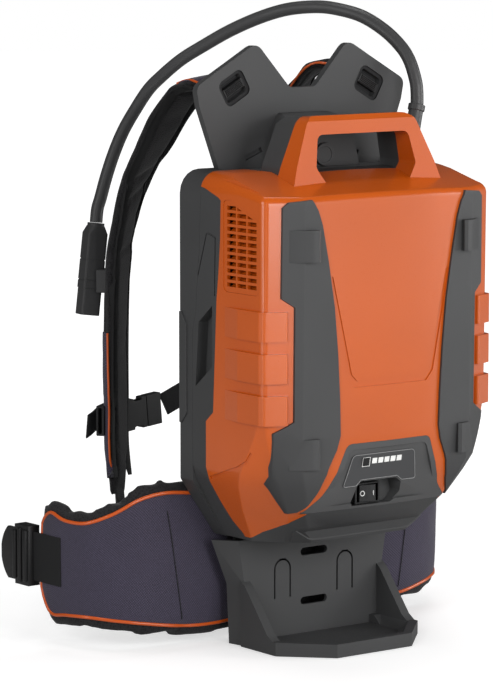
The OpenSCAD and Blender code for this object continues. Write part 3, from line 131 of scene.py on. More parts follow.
def lightStudio():
    for name in lampNames:
        facts = studio[name]
        lamp = bpy.data.lights.new(name, "AREA")
        lamp.shape = "RECTANGLE"
        lamp.size, lamp.size_y = facts["size"]
        lamp.energy = facts["power"]
        holder = bpy.data.objects.new(name, lamp)
        bpy.context.scene.collection.objects.link(holder)
        holder.visible_glossy = facts["mirrored"]
        holder.location = facts["at"]
        holder.rotation_euler = (Vector(facts["aim"]) - Vector(facts["at"])).to_track_quat("-Z", "Y").to_euler()
    world = bpy.data.worlds.new("studioWorld")
    bpy.context.scene.world = world
    world.use_nodes = True
    tree = world.node_tree
    rays = tree.nodes.new("ShaderNodeLightPath")
    level = tree.nodes.new("ShaderNodeMapRange")
    level.inputs["To Min"].default_value = studio["sky"]
    level.inputs["To Max"].default_value = studio["mirrored"]
    tree.links.new(rays.outputs["Is Glossy Ray"], level.inputs["Value"])
    seen = tree.nodes.new("ShaderNodeMix")
    tree.links.new(rays.outputs["Is Camera Ray"], seen.inputs[0])
    tree.links.new(level.outputs["Result"], seen.inputs[2])
    seen.inputs[3].default_value = 1
    sky = tree.nodes["Background"]
    sky.inputs["Color"].default_value = (1, 1, 1, 1)
    tree.links.new(seen.outputs[0], sky.inputs["Strength"])


def layFloor():
    bpy.ops.object.select_all(action="DESELECT")
    facts, shine = studio["floor"], studio["glow"]
    bpy.ops.mesh.primitive_circle_add(vertices=64, radius=facts["radius"], fill_type="NGON",
                                      location=(0, 0, -facts["below"]))
    floor = bpy.context.object
    floor.name = "floor"
    mat = bpy.data.materials.new("paleFloor")
    mat.use_nodes = True
    tree = mat.node_tree
    paint = tree.nodes["Principled BSDF"]
    paint.inputs["Roughness"].default_value = facts["rough"]
    paint.inputs["Specular IOR Level"].default_value = 0
    glow = tree.nodes.new("ShaderNodeEmission")
    glow.inputs["Color"].default_value = (1, 1, 1, 1)
    where = tree.nodes.new("ShaderNodeTexCoord")
    away = tree.nodes.new("ShaderNodeVectorMath")
    away.operation = "LENGTH"
    tree.links.new(where.outputs["Object"], away.inputs[0])
    rise = tree.nodes.new("ShaderNodeMapRange")
    rise.inputs["From Min"].default_value = shine["from"]
    rise.inputs["From Max"].default_value = shine["to"]
    rise.inputs["To Min"].default_value = shine["near"]
    rise.inputs["To Max"].default_value = shine["far"]
    tree.links.new(away.outputs["Value"], rise.inputs["Value"])
    tree.links.new(rise.outputs["Result"], glow.inputs["Strength"])
    rays = tree.nodes.new("ShaderNodeLightPath")
    pale = tree.nodes.new("ShaderNodeMapRange")
    pale.inputs["To Min"].default_value = facts["bounce"]
    pale.inputs["To Max"].default_value = facts["seen"]
    tree.links.new(rays.outputs["Is Camera Ray"], pale.inputs["Value"])
    tree.links.new(pale.outputs["Result"], paint.inputs["Base Color"])
    part = tree.nodes.new("ShaderNodeMath")
    part.operation = "MULTIPLY"
    part.inputs[1].default_value = shine["share"]
    mix = tree.nodes.new("ShaderNodeMixShader")
    tree.links.new(rays.outputs["Is Camera Ray"], part.inputs[0])
    tree.links.new(part.outputs[0], mix.inputs[0])
    tree.links.new(paint.outputs[0], mix.inputs[1])
    tree.links.new(glow.outputs[0], mix.inputs[2])
    tree.links.new(mix.outputs[0], tree.nodes["Material Output"].inputs[0])
    floor.data.materials.append(mat)


placeCamera()
lightStudio()
layFloor()
bpy.context.scene.view_settings.view_transform = "Standard"
print("camera and light placed")


# Steps that every finish is made from
def newFinish(name, colour, roughness):
    mat = bpy.data.materials.new(name)
    mat.use_nodes = True
    paint = mat.node_tree.nodes["Principled BSDF"]
    paint.inputs["Base Color"].default_value = tuple(colour) + (1,)
    paint.inputs["Roughness"].default_value = roughness
    return mat, mat.node_tree, paint


def place(tree, scale=(1, 1, 1), source="Object", turn=(0, 0, 0)):
    where = tree.nodes.new("ShaderNodeTexCoord")
    node = tree.nodes.new("ShaderNodeMapping")
    node.inputs["Scale"].default_value = scale
    node.inputs["Rotation"].default_value = turn
    tree.links.new(where.outputs[source], node.inputs["Vector"])
    return node.outputs["Vector"]


def noise(tree, vector, scale, detail=3.0):
    node = tree.nodes.new("ShaderNodeTexNoise")
    node.inputs["Scale"].default_value = scale
    node.inputs["Detail"].default_value = detail
    tree.links.new(vector, node.inputs["Vector"])
    return node.outputs["Fac"]


def cells(tree, vector, scale, uneven=0.6):
    node = tree.nodes.new("ShaderNodeTexVoronoi")
    node.inputs["Scale"].default_value = scale
    node.inputs["Randomness"].default_value = uneven
    tree.links.new(vector, node.inputs["Vector"])
    return node.outputs["Distance"]


def waves(tree, vector, scale, direction, bend=0.4):
    node = tree.nodes.new("ShaderNodeTexWave")
    node.bands_direction = direction
    node.inputs["Scale"].default_value = scale
    node.inputs["Distortion"].default_value = bend
    node.inputs["Detail"].default_value = 1
    tree.links.new(vector, node.inputs["Vector"])
    return node.outputs["Fac"]


def sums(tree, kind, a, b):
    node = tree.nodes.new("ShaderNodeMath")
    node.operation = kind
    for value, socket in ((a, node.inputs[0]), (b, node.inputs[1])):
        if isinstance(value, (int, float)):
            socket.default_value = value
        else:
            tree.links.new(value, socket)
    return node.outputs[0]


def spread(tree, value, low, high, outLow, outHigh):
    node = tree.nodes.new("ShaderNodeMapRange")
    node.inputs["From Min"].default_value = low
    node.inputs["From Max"].default_value = high
    node.inputs["To Min"].default_value = outLow
    node.inputs["To Max"].default_value = outHigh
    tree.links.new(value, node.inputs["Value"])
    return node.outputs["Result"]


def tint(tree, value, colourA, colourB, low=0.35, high=0.65):
    ramp = tree.nodes.new("ShaderNodeValToRGB")
    ramp.color_ramp.elements[0].position = low
    ramp.color_ramp.elements[1].position = high
    ramp.color_ramp.elements[0].color = tuple(colourA) + (1,)
    ramp.color_ramp.elements[1].color = tuple(colourB) + (1,)
    tree.links.new(value, ramp.inputs["Fac"])
    return ramp.outputs["Color"]


def bump(tree, paint, height, strength, distance):
    node = tree.nodes.new("ShaderNodeBump")
    node.inputs["Strength"].default_value = strength
    node.inputs["Distance"].default_value = distance
    tree.links.new(height, node.inputs["Height"])
    tree.links.new(node.outputs["Normal"], paint.inputs["Normal"])


def shade(colour, by):
    return tuple(min(1, c * by) for c in colour)


# Moulded plastic: a slow cloud of tone, a fine grain in its gloss and mostly a leathery relief
plasticLook = {"darkest": 0.94, "palest": 1.05, "grainDepth": 0.0004, "coatRough": 0.03, "shine": 0.5}


def mouldedPlastic(name, facts):
    facts = {**plasticLook, **facts}
    colour, rough, play = facts["colour"], facts["rough"], facts["play"]
    mat, tree, paint = newFinish(name, colour, rough)
    where = place(tree)
    cloud = noise(tree, where, facts["cloud"], 2)
    tones = tint(tree, cloud, shade(colour, facts["darkest"]), shade(colour, facts["palest"]))
    tree.links.new(tones, paint.inputs["Base Color"])
    grain = noise(tree, where, facts["grain"], 4)
    tree.links.new(spread(tree, grain, 0.3, 0.7, rough - play, rough + play), paint.inputs["Roughness"])
    if facts["relief"]:
        bump(tree, paint, grain, facts["relief"], facts["grainDepth"])
    paint.inputs["Coat Weight"].default_value = facts["coat"]
    paint.inputs["Coat Roughness"].default_value = facts["coatRough"]
    paint.inputs["Specular IOR Level"].default_value = facts["shine"]
    return mat


finishes = {
    "orange_plastic": {"colour": (0.54, 0.090, 0.004), "rough": 0.30, "play": 0.03, "cloud": 6, "grain": 1500,
                       "relief": 0, "coat": 0.5, "coatRough": 0.14},
    "grey_plastic": {"colour": (0.046, 0.0465, 0.0475), "rough": 0.55, "play": 0.05, "cloud": 9, "grain": 1500,
                     "relief": 0.20, "coat": 0.0, "shine": 0.42},
    # The control panel's finish: glossier than grey_plastic, and painted paler to stand in for the light that falls
    # on the panel
    "panel_plastic_painted_paler": {"colour": (0.064, 0.0645, 0.0655), "rough": 0.42, "play": 0.05, "cloud": 9, "grain": 1500,
                      "relief": 0.12, "coat": 0.1, "shine": 0.45},
    "black_plastic": {"colour": (0.008, 0.008, 0.0085), "rough": 0.42, "play": 0.06, "cloud": 12, "grain": 1200,
                      "relief": 0.14, "coat": 0.0, "shine": 0.4},
    "label_film": {"colour": (0.044, 0.045, 0.047), "rough": 0.38, "play": 0.03, "cloud": 10, "grain": 900,
                   "relief": 0.04, "coat": 0.1},
    "white_lens": {"colour": (0.85, 0.85, 0.83), "rough": 0.3, "play": 0.03, "cloud": 30, "grain": 900,
                   "relief": 0.02, "coat": 0.2},
    "cell_wrap": {"colour": (0.012, 0.016, 0.018), "rough": 0.3, "play": 0.04, "cloud": 20, "grain": 500,
                  "relief": 0.03, "coat": 0.3},
    "circuit_board": {"colour": (0.02, 0.16, 0.05), "rough": 0.35, "play": 0.05, "cloud": 60, "grain": 700,
                      "relief": 0.1, "coat": 0.2},
    "fuse_body": {"colour": (0.7, 0.66, 0.55), "rough": 0.4, "play": 0.05, "cloud": 30, "grain": 700, "relief": 0.05,
                  "coat": 0.1},
    "cable_rubber": {"colour": (0.046, 0.046, 0.047), "rough": 0.42, "play": 0.05, "cloud": 14, "grain": 900,
                     "relief": 0.1, "coat": 0.0},
    "plug_plastic": {"colour": (0.034, 0.034, 0.035), "rough": 0.5, "play": 0.05, "cloud": 12, "grain": 1200,
                     "relief": 0.14, "coat": 0.0, "shine": 0.4},
    "piping_vinyl": {"colour": (0.56, 0.085, 0.008), "rough": 0.32, "play": 0.04, "cloud": 40, "grain": 900,
                     "relief": 0.06, "coat": 0.3},
    "print_grey": {"colour": (0.30, 0.30, 0.30), "rough": 0.5, "play": 0.04, "cloud": 40, "grain": 900,
                   "relief": 0.03, "coat": 0.0},
    # groove_shadow is near black; on the yoke it is painted shade in the sunk window rims, and the hip stitches are
    # finished in it
    "groove_shadow": {"colour": (0.010, 0.010, 0.011), "rough": 0.8, "play": 0.04, "cloud": 40, "grain": 900,
                      "relief": 0.06, "coat": 0.0},
}
mats = {slotName: mouldedPlastic(slotName, facts) for slotName, facts in finishes.items()}


metalLook = {"plain": 0.35, "stretch": (40, 900, 900), "rough": (0.25, 0.45), "relief": 0.1, "depth": 0.0002}


def brushedMetal(name, colour):
    mat, tree, paint = newFinish(name, colour, metalLook["plain"])
    paint.inputs["Metallic"].default_value = 1
    streak = noise(tree, place(tree, metalLook["stretch"]), 3, 3)
    tree.links.new(spread(tree, streak, 0.3, 0.7, *metalLook["rough"]), paint.inputs["Roughness"])
    bump(tree, paint, streak, metalLook["relief"], metalLook["depth"])
    return mat


mats["nickel"] = brushedMetal("nickel", (0.62, 0.6, 0.55))
mats["screw_steel"] = brushedMetal("screw_steel", (0.55, 0.55, 0.55))


# Scale at which a wave texture repeats at the pitch of a thread
def threadScale(pitch):
    return 0.05 * 6.28 / pitch


# Spacer mesh: small open cells between fine threads
meshFacts = {"colour": (0.0135, 0.013, 0.014), "pitch": 0.0021, "relief": 0.35, "depth": 0.0006,
             "sheen": 0.12, "sheenRough": 0.45, "shine": 0.25, "rough": 0.9, "wear": 16}


def meshCloth(name, facts):
    colour = facts["colour"]
    mat, tree, paint = newFinish(name, colour, facts["rough"])
    where = place(tree)
    hole = cells(tree, where, 1 / facts["pitch"])
    thread = spread(tree, hole, 0.15, 0.55, 0, 1)
    wear = noise(tree, where, facts["wear"], 4)
    both = sums(tree, "MULTIPLY", thread, spread(tree, wear, 0.3, 0.7, 0.6, 1.1))
    tree.links.new(tint(tree, both, shade(colour, 0.5), shade(colour, 1.5), 0.1, 0.9), paint.inputs["Base Color"])
    bump(tree, paint, sums(tree, "ADD", thread, wear), facts["relief"], facts["depth"])
    paint.inputs["Sheen Weight"].default_value = facts["sheen"]
    paint.inputs["Sheen Roughness"].default_value = facts["sheenRough"]
    paint.inputs["Specular IOR Level"].default_value = facts["shine"]
    return mat


# Plain weave of two thread directions, the warp a little bluer than the weft
weaveFacts = {"warp": (0.054, 0.047, 0.078), "weft": (0.034, 0.029, 0.045), "pitch": 0.0019, "turn": 0.7,
              "relief": 0.3, "depth": 0.0005, "sheen": 0.15, "sheenRough": 0.5, "shine": 0.3, "rough": 0.82,
              "wear": 13}


def wovenCloth(name, facts):
    mat, tree, paint = newFinish(name, facts["warp"], facts["rough"])
    where = place(tree, (1, 1, 1), "UV", (0, 0, facts["turn"]))
    over = waves(tree, where, threadScale(facts["pitch"]), "X", 0.8)
    under = waves(tree, where, threadScale(facts["pitch"]), "Y", 0.8)
    thread = sums(tree, "MULTIPLY", over, under)
    fine = noise(tree, place(tree), 900, 2)
    wear = noise(tree, place(tree), facts["wear"], 4)
    mixed = sums(tree, "ADD", sums(tree, "MULTIPLY", thread, 0.55), sums(tree, "MULTIPLY", fine, 0.6))
    worn = sums(tree, "MULTIPLY", mixed, spread(tree, wear, 0.25, 0.75, 0.85, 1.1))
    tones = tint(tree, worn, shade(facts["weft"], 0.75), shade(facts["warp"], 1.3), 0.2, 0.8)
    tree.links.new(tones, paint.inputs["Base Color"])
    height = sums(tree, "ADD", thread, sums(tree, "MULTIPLY", wear, 0.6))
    bump(tree, paint, height, facts["relief"], facts["depth"])
    paint.inputs["Sheen Weight"].default_value = facts["sheen"]
    paint.inputs["Sheen Roughness"].default_value = facts["sheenRough"]
    paint.inputs["Specular IOR Level"].default_value = facts["shine"]
    return mat


# Webbing: ribs across, fine threads along, in the strip's own lengths
ribFacts = {"relief": 0.5, "depth": 0.0004, "shine": 0.35, "rough": 0.75, "wear": 60, "closer": 0.8}


def ribbedWebbing(name, colour, pitch):
    mat, tree, paint = newFinish(name, colour, ribFacts["rough"])
    where = place(tree, (1, 1, 1), "UV")
    rib = waves(tree, where, threadScale(pitch), "X", 0.6)
    cord = waves(tree, where, threadScale(pitch * ribFacts["closer"]), "Y", 0.3)
    thread = sums(tree, "ADD", sums(tree, "MULTIPLY", rib, 0.6), sums(tree, "MULTIPLY", cord, 0.4))
    wear = noise(tree, place(tree), ribFacts["wear"], 3)
    both = sums(tree, "MULTIPLY", thread, spread(tree, wear, 0.3, 0.7, 0.75, 1.1))
    tree.links.new(tint(tree, both, shade(colour, 0.6), shade(colour, 1.6), 0.15, 0.85), paint.inputs["Base Color"])
    bump(tree, paint, thread, ribFacts["relief"], ribFacts["depth"])
    paint.inputs["Specular IOR Level"].default_value = ribFacts["shine"]
    return mat


mats["strap_fabric"] = meshCloth("strap_fabric", meshFacts)
mats["hip_fabric"] = wovenCloth("hip_fabric", weaveFacts)
mats["webbing"] = ribbedWebbing("webbing", (0.019, 0.019, 0.020), 0.0019)
mats["binding"] = ribbedWebbing("binding", (0.012, 0.012, 0.0125), 0.0014)

# Pieces whose finish differs a little from that of their slot
slotMats = {"connector_body": "plug_plastic", "connector_nose": "plug_plastic", "connector_holder": "plug_plastic",
            "control_panel": "panel_plastic_painted_paler"}

slotOf = {row["node"]: row["material_slot"] for row in frame["record"]["subparts"]}
for name, obj in nodes.items():
    obj.data.materials.clear()
    obj.data.materials.append(mats[slotOf[name]])
print("finishes made")


# Tools that several pieces share
def pick(piece):
    bpy.ops.object.select_all(action="DESELECT")
    piece.select_set(True)
    bpy.context.view_layer.objects.active = piece


# Merges what meets, closes open ends if wanted and turns all faces outwards
def turnOutwards(piece, doubles, closeEnds=False):
    pick(piece)
    bpy.ops.object.mode_set(mode="EDIT")
    bpy.ops.mesh.select_all(action="SELECT")
    bpy.ops.mesh.remove_doubles(threshold=doubles)
    if closeEnds:
        bpy.ops.mesh.fill_holes(sides=0)
        bpy.ops.mesh.select_all(action="SELECT")
    bpy.ops.mesh.normals_make_consistent(inside=False)
    bpy.ops.object.mode_set(mode="OBJECT")


def cadCopy(nodeName, name):
    piece = bpy.data.objects.new(name, nodes[nodeName].data.copy())
    bpy.context.scene.collection.objects.link(piece)
    turnOutwards(piece, 0.00002)
    return piece


def joinAll(parts):
    pick(parts[0])
    for part in parts:
        part.select_set(True)
    bpy.ops.object.join()


def bodyOf(nodeName):
    return nodes[nodeName]["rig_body"]


def stand(piece, nodeName):
    piece.data.materials.clear()
    piece.data.materials.append(mats[slotMats.get(nodeName, slotOf[nodeName])])
    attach(piece, bodyOf(nodeName))
    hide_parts(nodeName)


def finish(piece, matName):
    piece.data.materials.clear()
    piece.data.materials.append(mats[matName])


def applyMod(piece, name, kind, **facts):
    mod = piece.modifiers.new(name, kind)
    for key, value in facts.items():
        setattr(mod, key, value)
    pick(piece)
    bpy.ops.object.modifier_apply(modifier=mod.name)


def closenessOf(piece):
    data = piece.data
    return BVHTree.FromPolygons([v.co.copy() for v in data.vertices], [tuple(p.vertices) for p in data.polygons])


def throughPoints(points, steps):
    found = []
    pts = [Vector(p) for p in points]
    for i in range(len(pts) - 1):
        a, b, c, d = pts[max(i - 1, 0)], pts[i], pts[i + 1], pts[min(i + 2, len(pts) - 1)]
        for k in range(steps):
            t = k / steps
            bend = (2 * a - 5 * b + 4 * c - d) * t * t + (3 * b - a - 3 * c + d) * t ** 3
            found.append(0.5 * (2 * b + (c - a) * t + bend))
    found.append(pts[-1])
    return found


def between(values, steps):
    found = []
    for i in range(len(values) - 1):
        found += [values[i] + (values[i + 1] - values[i]) * k / steps for k in range(steps)]
    return found + [values[-1]]


# Sheet of rows by columns through the given points, its UV in metres
def layGrid(name, rows):
    n, m = len(rows), len(rows[0])
    bpy.ops.object.select_all(action="DESELECT")
    bpy.ops.mesh.primitive_grid_add(x_subdivisions=m - 1, y_subdivisions=n - 1, size=1)
    piece = bpy.context.object
    piece.name = name
    for i, row in enumerate(rows):
        for j, at in enumerate(row):
            piece.data.vertices[i * m + j].co = at
    along, across = [0.0], [0.0]
    mid = m // 2
    for i in range(1, n):
        along.append(along[-1] + (Vector(rows[i][mid]) - Vector(rows[i - 1][mid])).length)
    for j in range(1, m):
        across.append(across[-1] + (Vector(rows[n // 2][j]) - Vector(rows[n // 2][j - 1])).length)
    uv = piece.data.uv_layers.active.data
    for loop in piece.data.loops:
        i, j = divmod(loop.vertex_index, m)
        uv[loop.index].uv = (along[i], across[j])
    return piece


# Round tube along points: a sheet rolled round them and closed at its ends; closed makes a ring of it
def layTube(name, points, radius, sides=8, closed=False):
    pts = [Vector(p) for p in points]
    n = len(pts)
    rings, side = [], None
    for i in range(n):
        back = pts[i - 1] if (closed or i > 0) else pts[i]
        ahead = pts[(i + 1) % n] if (closed or i < n - 1) else pts[i]
        t = (ahead - back).normalized()
        if side is None:
            side = t.cross(Vector((0.3, 1, 0.2))).normalized()
        side = (side - t * side.dot(t)).normalized()
        up = t.cross(side)
        angles = [2 * math.pi * (k % sides) / sides for k in range(sides + 1)]
        rings.append([pts[i] + (side * math.cos(a) + up * math.sin(a)) * radius for a in angles])
    if closed:
        rings.append(rings[0])
    piece = layGrid(name, rings)
    turnOutwards(piece, 0.000001, closeEnds=not closed)
    bpy.ops.object.shade_smooth_by_angle(angle=math.radians(50))
    return piece


# Moulded and metal pieces: each copy gets its edges broken
edges = {
    # node: (edge width in metres, segments)
    "front_cover": (0.0016, 3), "rear_housing": (0.0012, 2),
    "left_corner_guard": (0.0013, 3), "right_corner_guard": (0.0013, 3),
    "bottom_cover": (0.0012, 2), "control_panel": (0.0009, 2), "back_frame": (0.0016, 3),
    "left_frame_insert": (0.0007, 2), "right_frame_insert": (0.0007, 2),
    "foot_bracket": (0.0018, 3), "yoke_plate": (0.0016, 3), "height_button": (0.0007, 2),
    "power_rocker": (0.0005, 2), "switch_frame": (0.0005, 2), "connector_body": (0.0013, 3),
    "connector_nose": (0.0012, 3), "connector_latch": (0.0006, 2), "connector_holder": (0.0009, 2),
    "cable_boot": (0.0006, 2), "left_adjuster": (0.0012, 2), "right_adjuster": (0.0012, 2),
    "left_chest_slider": (0.0014, 3), "right_chest_slider": (0.0014, 3),
    "chest_buckle_socket": (0.0018, 3), "chest_buckle_plug": (0.0012, 2),
    "hip_buckle_plug": (0.0016, 3),
    "yoke_bars": (0.0004, 2), "gauge_button": (0.0004, 2),
}
edgeFacts = {"flat": 0.8, "sharp": 31, "smooth": 36}      # degrees


def softenEdges(nodeName, width, segments):
    piece = cadCopy(nodeName, nodeName + "_dressed")
    bpy.ops.object.mode_set(mode="EDIT")
    bpy.ops.mesh.select_all(action="SELECT")
    bpy.ops.mesh.dissolve_limited(angle_limit=math.radians(edgeFacts["flat"]))
    bpy.ops.object.mode_set(mode="OBJECT")
    applyMod(piece, "edge", "BEVEL", width=width, segments=segments, limit_method="ANGLE",
             angle_limit=math.radians(edgeFacts["sharp"]), miter_outer="MITER_ARC", use_clamp_overlap=True)
    bpy.ops.object.shade_smooth_by_angle(angle=math.radians(edgeFacts["smooth"]))
    applyMod(piece, "faceNormals", "WEIGHTED_NORMAL", keep_sharp=True, weight=100)
    stand(piece, nodeName)


for nodeName, (width, segments) in edges.items():
    softenEdges(nodeName, width, segments)

# Painted shade: the faces of the sunk rim round each window of the yoke get the near-black groove_shadow finish,
# standing in for the shade in that recess
rim = {"centre": (0.0857, 0.5625), "reach": 0.0235, "deep": (0.0209, 0.0230)}


def paintRimShade():
    yoke = bpy.data.objects["yoke_plate_dressed"]
    yoke.data.materials.append(mats["groove_shadow"])
    for poly in yoke.data.polygons:
        spot = poly.center
        near = math.hypot(abs(spot.x) - rim["centre"][0], spot.z - rim["centre"][1]) < rim["reach"]
        if near and rim["deep"][0] < spot.y < rim["deep"][1]:
            poly.material_index = 1


paintRimShade()
print("edges softened")


# Hip buckle: the socket's far end is rounded, and three bars stand on its outer face
buckle = {"tip": (-0.2351, 0.126, 0.086), "turn": 92, "round": 0.036, "centre": 0.0455, "high": 0.08, "edge": 0.0030,
          "bars": (0.0385, 0.0475, 0.0565), "barWide": 0.0062, "barHigh": (0.054, 0.056, 0.050), "barProud": 0.0022,
          "barOut": 0.008, "barEdge": 0.0014}


def roundBuckle():
    piece = cadCopy("hip_buckle_socket", "hip_buckle_rounded")
    turn = math.radians(buckle["turn"])
    along = Vector((math.cos(turn), math.sin(turn), 0))
    out = Vector((-math.sin(turn), math.cos(turn), 0))
    tip = Vector(buckle["tip"])

    def spot(x, y, z):
        return tip + along * x + out * y + Vector((0, 0, z))

    bpy.ops.object.select_all(action="DESELECT")
    bpy.ops.mesh.primitive_cylinder_add(vertices=64, radius=buckle["round"], depth=buckle["high"],
                                        end_fill_type="NGON")
    cutter = bpy.context.object
    cutter.rotation_euler = (math.pi / 2, 0, turn)
    cutter.location = spot(buckle["centre"], 0, 0)
    applyMod(piece, "end", "BOOLEAN", operation="INTERSECT", object=cutter, solver="EXACT")
    bpy.data.objects.remove(cutter)
    applyMod(piece, "edge", "BEVEL", width=buckle["edge"], segments=4, limit_method="ANGLE",
             angle_limit=math.radians(40), use_clamp_overlap=True)
    parts = [piece]
    for x, high in zip(buckle["bars"], buckle["barHigh"]):
        bpy.ops.object.select_all(action="DESELECT")
        bpy.ops.mesh.primitive_cube_add(size=1)
        bar = bpy.context.object
        bar.scale = (buckle["barWide"], 2 * buckle["barProud"], high)
        bar.rotation_euler = (0, 0, turn)
        bar.location = spot(x, buckle["barOut"], 0)
        bpy.ops.object.transform_apply(location=True, rotation=True, scale=True)
        applyMod(bar, "edge", "BEVEL", width=buckle["barEdge"], segments=3)
        parts.append(bar)
    joinAll(parts)
    bpy.ops.object.shade_smooth_by_angle(angle=math.radians(40))
    stand(piece, "hip_buckle_socket")


roundBuckle()

# Marks on the rocker: a ring on one side and a bar on the other
rockerMarks = {"ring": 0.0024, "line": 0.00045, "bar": (0.0008, 0.0048), "apart": 0.0062, "lift": 0.00012,
               "reach": 0.05}


def markRocker():
    low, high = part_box("power_rocker")
    shape = closenessOf(nodes["power_rocker"])
    midX, midZ = (low[0] + high[0]) / 2, (low[2] + high[2]) / 2
    for kind, sign in (("ring", -1), ("bar", 1)):
        start = Vector((midX + sign * rockerMarks["apart"], low[1] - rockerMarks["reach"], midZ))
        at, normal, face, far = shape.ray_cast(start, Vector((0, 1, 0)))
        turn = normal.to_track_quat("Z", "Y")
        bpy.ops.object.select_all(action="DESELECT")
        if kind == "ring":
            bpy.ops.mesh.primitive_torus_add(major_radius=rockerMarks["ring"], minor_radius=rockerMarks["line"],
                                             major_segments=32, minor_segments=8)
        else:
            wide, long = rockerMarks["bar"]
            bpy.ops.mesh.primitive_cylinder_add(vertices=12, radius=wide / 2, depth=long,
                                                rotation=(math.pi / 2, 0, 0))
            turn = turn @ bpy.context.object.rotation_euler.to_quaternion()
        mark = bpy.context.object
        mark.name = "rocker_mark_" + kind
        mark.rotation_mode = "QUATERNION"
        mark.rotation_quaternion = turn
        mark.location = at + normal * rockerMarks["lift"]
        bpy.ops.object.transform_apply(location=True, rotation=True, scale=True)
        mark.rotation_mode = "XYZ"
        finish(mark, "white_lens")
        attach(mark, bodyOf("power_rocker"))
        bpy.ops.object.shade_smooth()


markRocker()


# Corners of the longest closed border of a piece's front, one after another
def frontBorder(data, facing):
    counts = {}
    for poly in data.polygons:
        if poly.normal.y < facing:
            for key in poly.edge_keys:
                counts[key] = counts.get(key, 0) + 1
    links = {}
    for a, b in (key for key, count in counts.items() if count == 1):
        links.setdefault(a, []).append(b)
        links.setdefault(b, []).append(a)
    loops = []
    while links:
        here, last = next(iter(links)), None
        loop = [here]
        while True:
            ahead = [q for q in links[here] if q != last]
            here, last = (ahead[0] if ahead else loop[0]), here
            if here in loop:
                break
            loop.append(here)
        for q in loop:
            links.pop(q, None)
        links = {q: [r for r in near if r in links] for q, near in links.items()}
        loops.append(loop)
    return max(loops, key=len)


# Printed lines on the label: round the film and round the gauge button
printed = {
    # node: (name, line radius, how far outside the border, finish)
    "panel_label": ("label_outline", 0.00028, -0.0008, "print_grey"),
    "gauge_button": ("button_outline", 0.00035, 0.0008, "white_lens"),
}
printFacts = {"facing": -0.75, "lift": 0.0001, "sides": 6}


def printOutline(nodeName, name, radius, outwards, matName):
    shape = cadCopy(nodeName, name + "_source")
    pts = [shape.data.vertices[q].co.copy() for q in frontBorder(shape.data, printFacts["facing"])]
    bpy.data.objects.remove(shape)
    middle = sum(pts, Vector()) / len(pts)
    pts = [p + (p - middle).normalized() * outwards - Vector((0, printFacts["lift"], 0)) for p in pts]
    line = layTube(name, pts, radius, printFacts["sides"], closed=True)
    finish(line, matName)
    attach(line, bodyOf(nodeName))


for nodeName, facts in printed.items():
    printOutline(nodeName, *facts)


# Slanted louvres behind each vent grille
louvre = {"rows": 12, "deep": 0.009, "thick": 0.0012, "tilt": 38, "behind": 0.0016, "margin": 0.0035,
          "clear": 0.002, "hung": 0.42}


def hangLouvres(sideName, side):
    low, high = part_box(sideName + "_vent_grille")
    span = high[2] - low[2] - 2 * louvre["margin"]
    long = high[1] - low[1] - 2 * louvre["margin"] - louvre["clear"]
    inner = high[0] if side < 0 else low[0]
    slats = []
    for k in range(louvre["rows"]):
        z = low[2] + louvre["margin"] + span * (k + 0.5) / louvre["rows"]
        bpy.ops.object.select_all(action="DESELECT")
        bpy.ops.mesh.primitive_cube_add(size=1)
        slat = bpy.context.object
        slat.scale = (louvre["deep"], long, louvre["thick"])
        slat.rotation_euler = (0, math.radians(louvre["tilt"]) * side, 0)
        out = inner - side * (louvre["deep"] * louvre["hung"] + louvre["behind"])
        slat.location = (out, (low[1] + high[1]) / 2, z)
        slats.append(slat)
    joinAll(slats)
    bpy.ops.object.transform_apply(location=True, rotation=True, scale=True)
    slats[0].name = sideName + "_vent_louvres"
    finish(slats[0], "orange_plastic")
    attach(slats[0], bodyOf(sideName + "_vent_grille"))


hangLouvres("left", -1)
hangLouvres("right", 1)
print("vents, label and rocker marked")


# Padded pieces: a little smaller than cut, then blown up like cloth over foam
pads = {
    # node: (how much smaller it starts, mesh size, pressure, most movement, fill)
    "left_shoulder_strap": (0.0012, 0.0045, 3.0, 0.004, 0.7),
    "right_shoulder_strap": (0.0012, 0.0045, 3.0, 0.004, 0.7),
    "left_hip_pad": (0.0020, 0.0055, 3.5, 0.006, 0.7),
    "right_hip_pad": (0.0020, 0.0055, 3.5, 0.006, 0.7),
    "lumbar_pad": (0.0016, 0.0055, 3.0, 0.005, 0.7),
    "back_pads": (0.0012, 0.0050, 3.0, 0.004, 0.7),
}
padShapes = {}
hipFacts = {
    # along the right wing: x, y, top, bottom
    "wing": [(0.0666, 0.048, 0.158, 0.009), (0.098, 0.049, 0.163, 0.008), (0.130, 0.049, 0.168, 0.009),
             (0.160, 0.050, 0.170, 0.013), (0.186, 0.054, 0.164, 0.017), (0.205, 0.064, 0.151, 0.020),
             (0.219, 0.084, 0.141, 0.022), (0.225, 0.108, 0.141, 0.021), (0.226, 0.135, 0.147, 0.020),
             (0.2255, 0.157, 0.136, 0.046)],
    "border": 0.0115, "steps": 6, "columns": 26, "piping": 0.0019,
}


clothFacts = {"quality": 4, "mass": 0.25, "tension_stiffness": 18, "compression_stiffness": 12, "shear_stiffness": 6,
              "bending_stiffness": 0.4, "use_pressure": True}
swellFrames = 20


def swell(piece, pressure, most):
    before = [v.co.copy() for v in piece.data.vertices]
    cloth = piece.modifiers.new("swelling", "CLOTH")
    for key, value in clothFacts.items():
        setattr(cloth.settings, key, value)
    cloth.settings.uniform_pressure_force = pressure
    cloth.settings.effector_weights.gravity = 0
    cloth.collision_settings.use_collision = False
    cloth.point_cache.frame_start = 1
    cloth.point_cache.frame_end = swellFrames
    for f in range(1, swellFrames + 1):
        bpy.context.scene.frame_set(f)
    pick(piece)
    bpy.ops.object.modifier_apply(modifier=cloth.name)
    bpy.context.scene.frame_set(1)
    for v, old in zip(piece.data.vertices, before):
        move = v.co - old
        if move.length > most:
            v.co = old + move * (most / move.length)


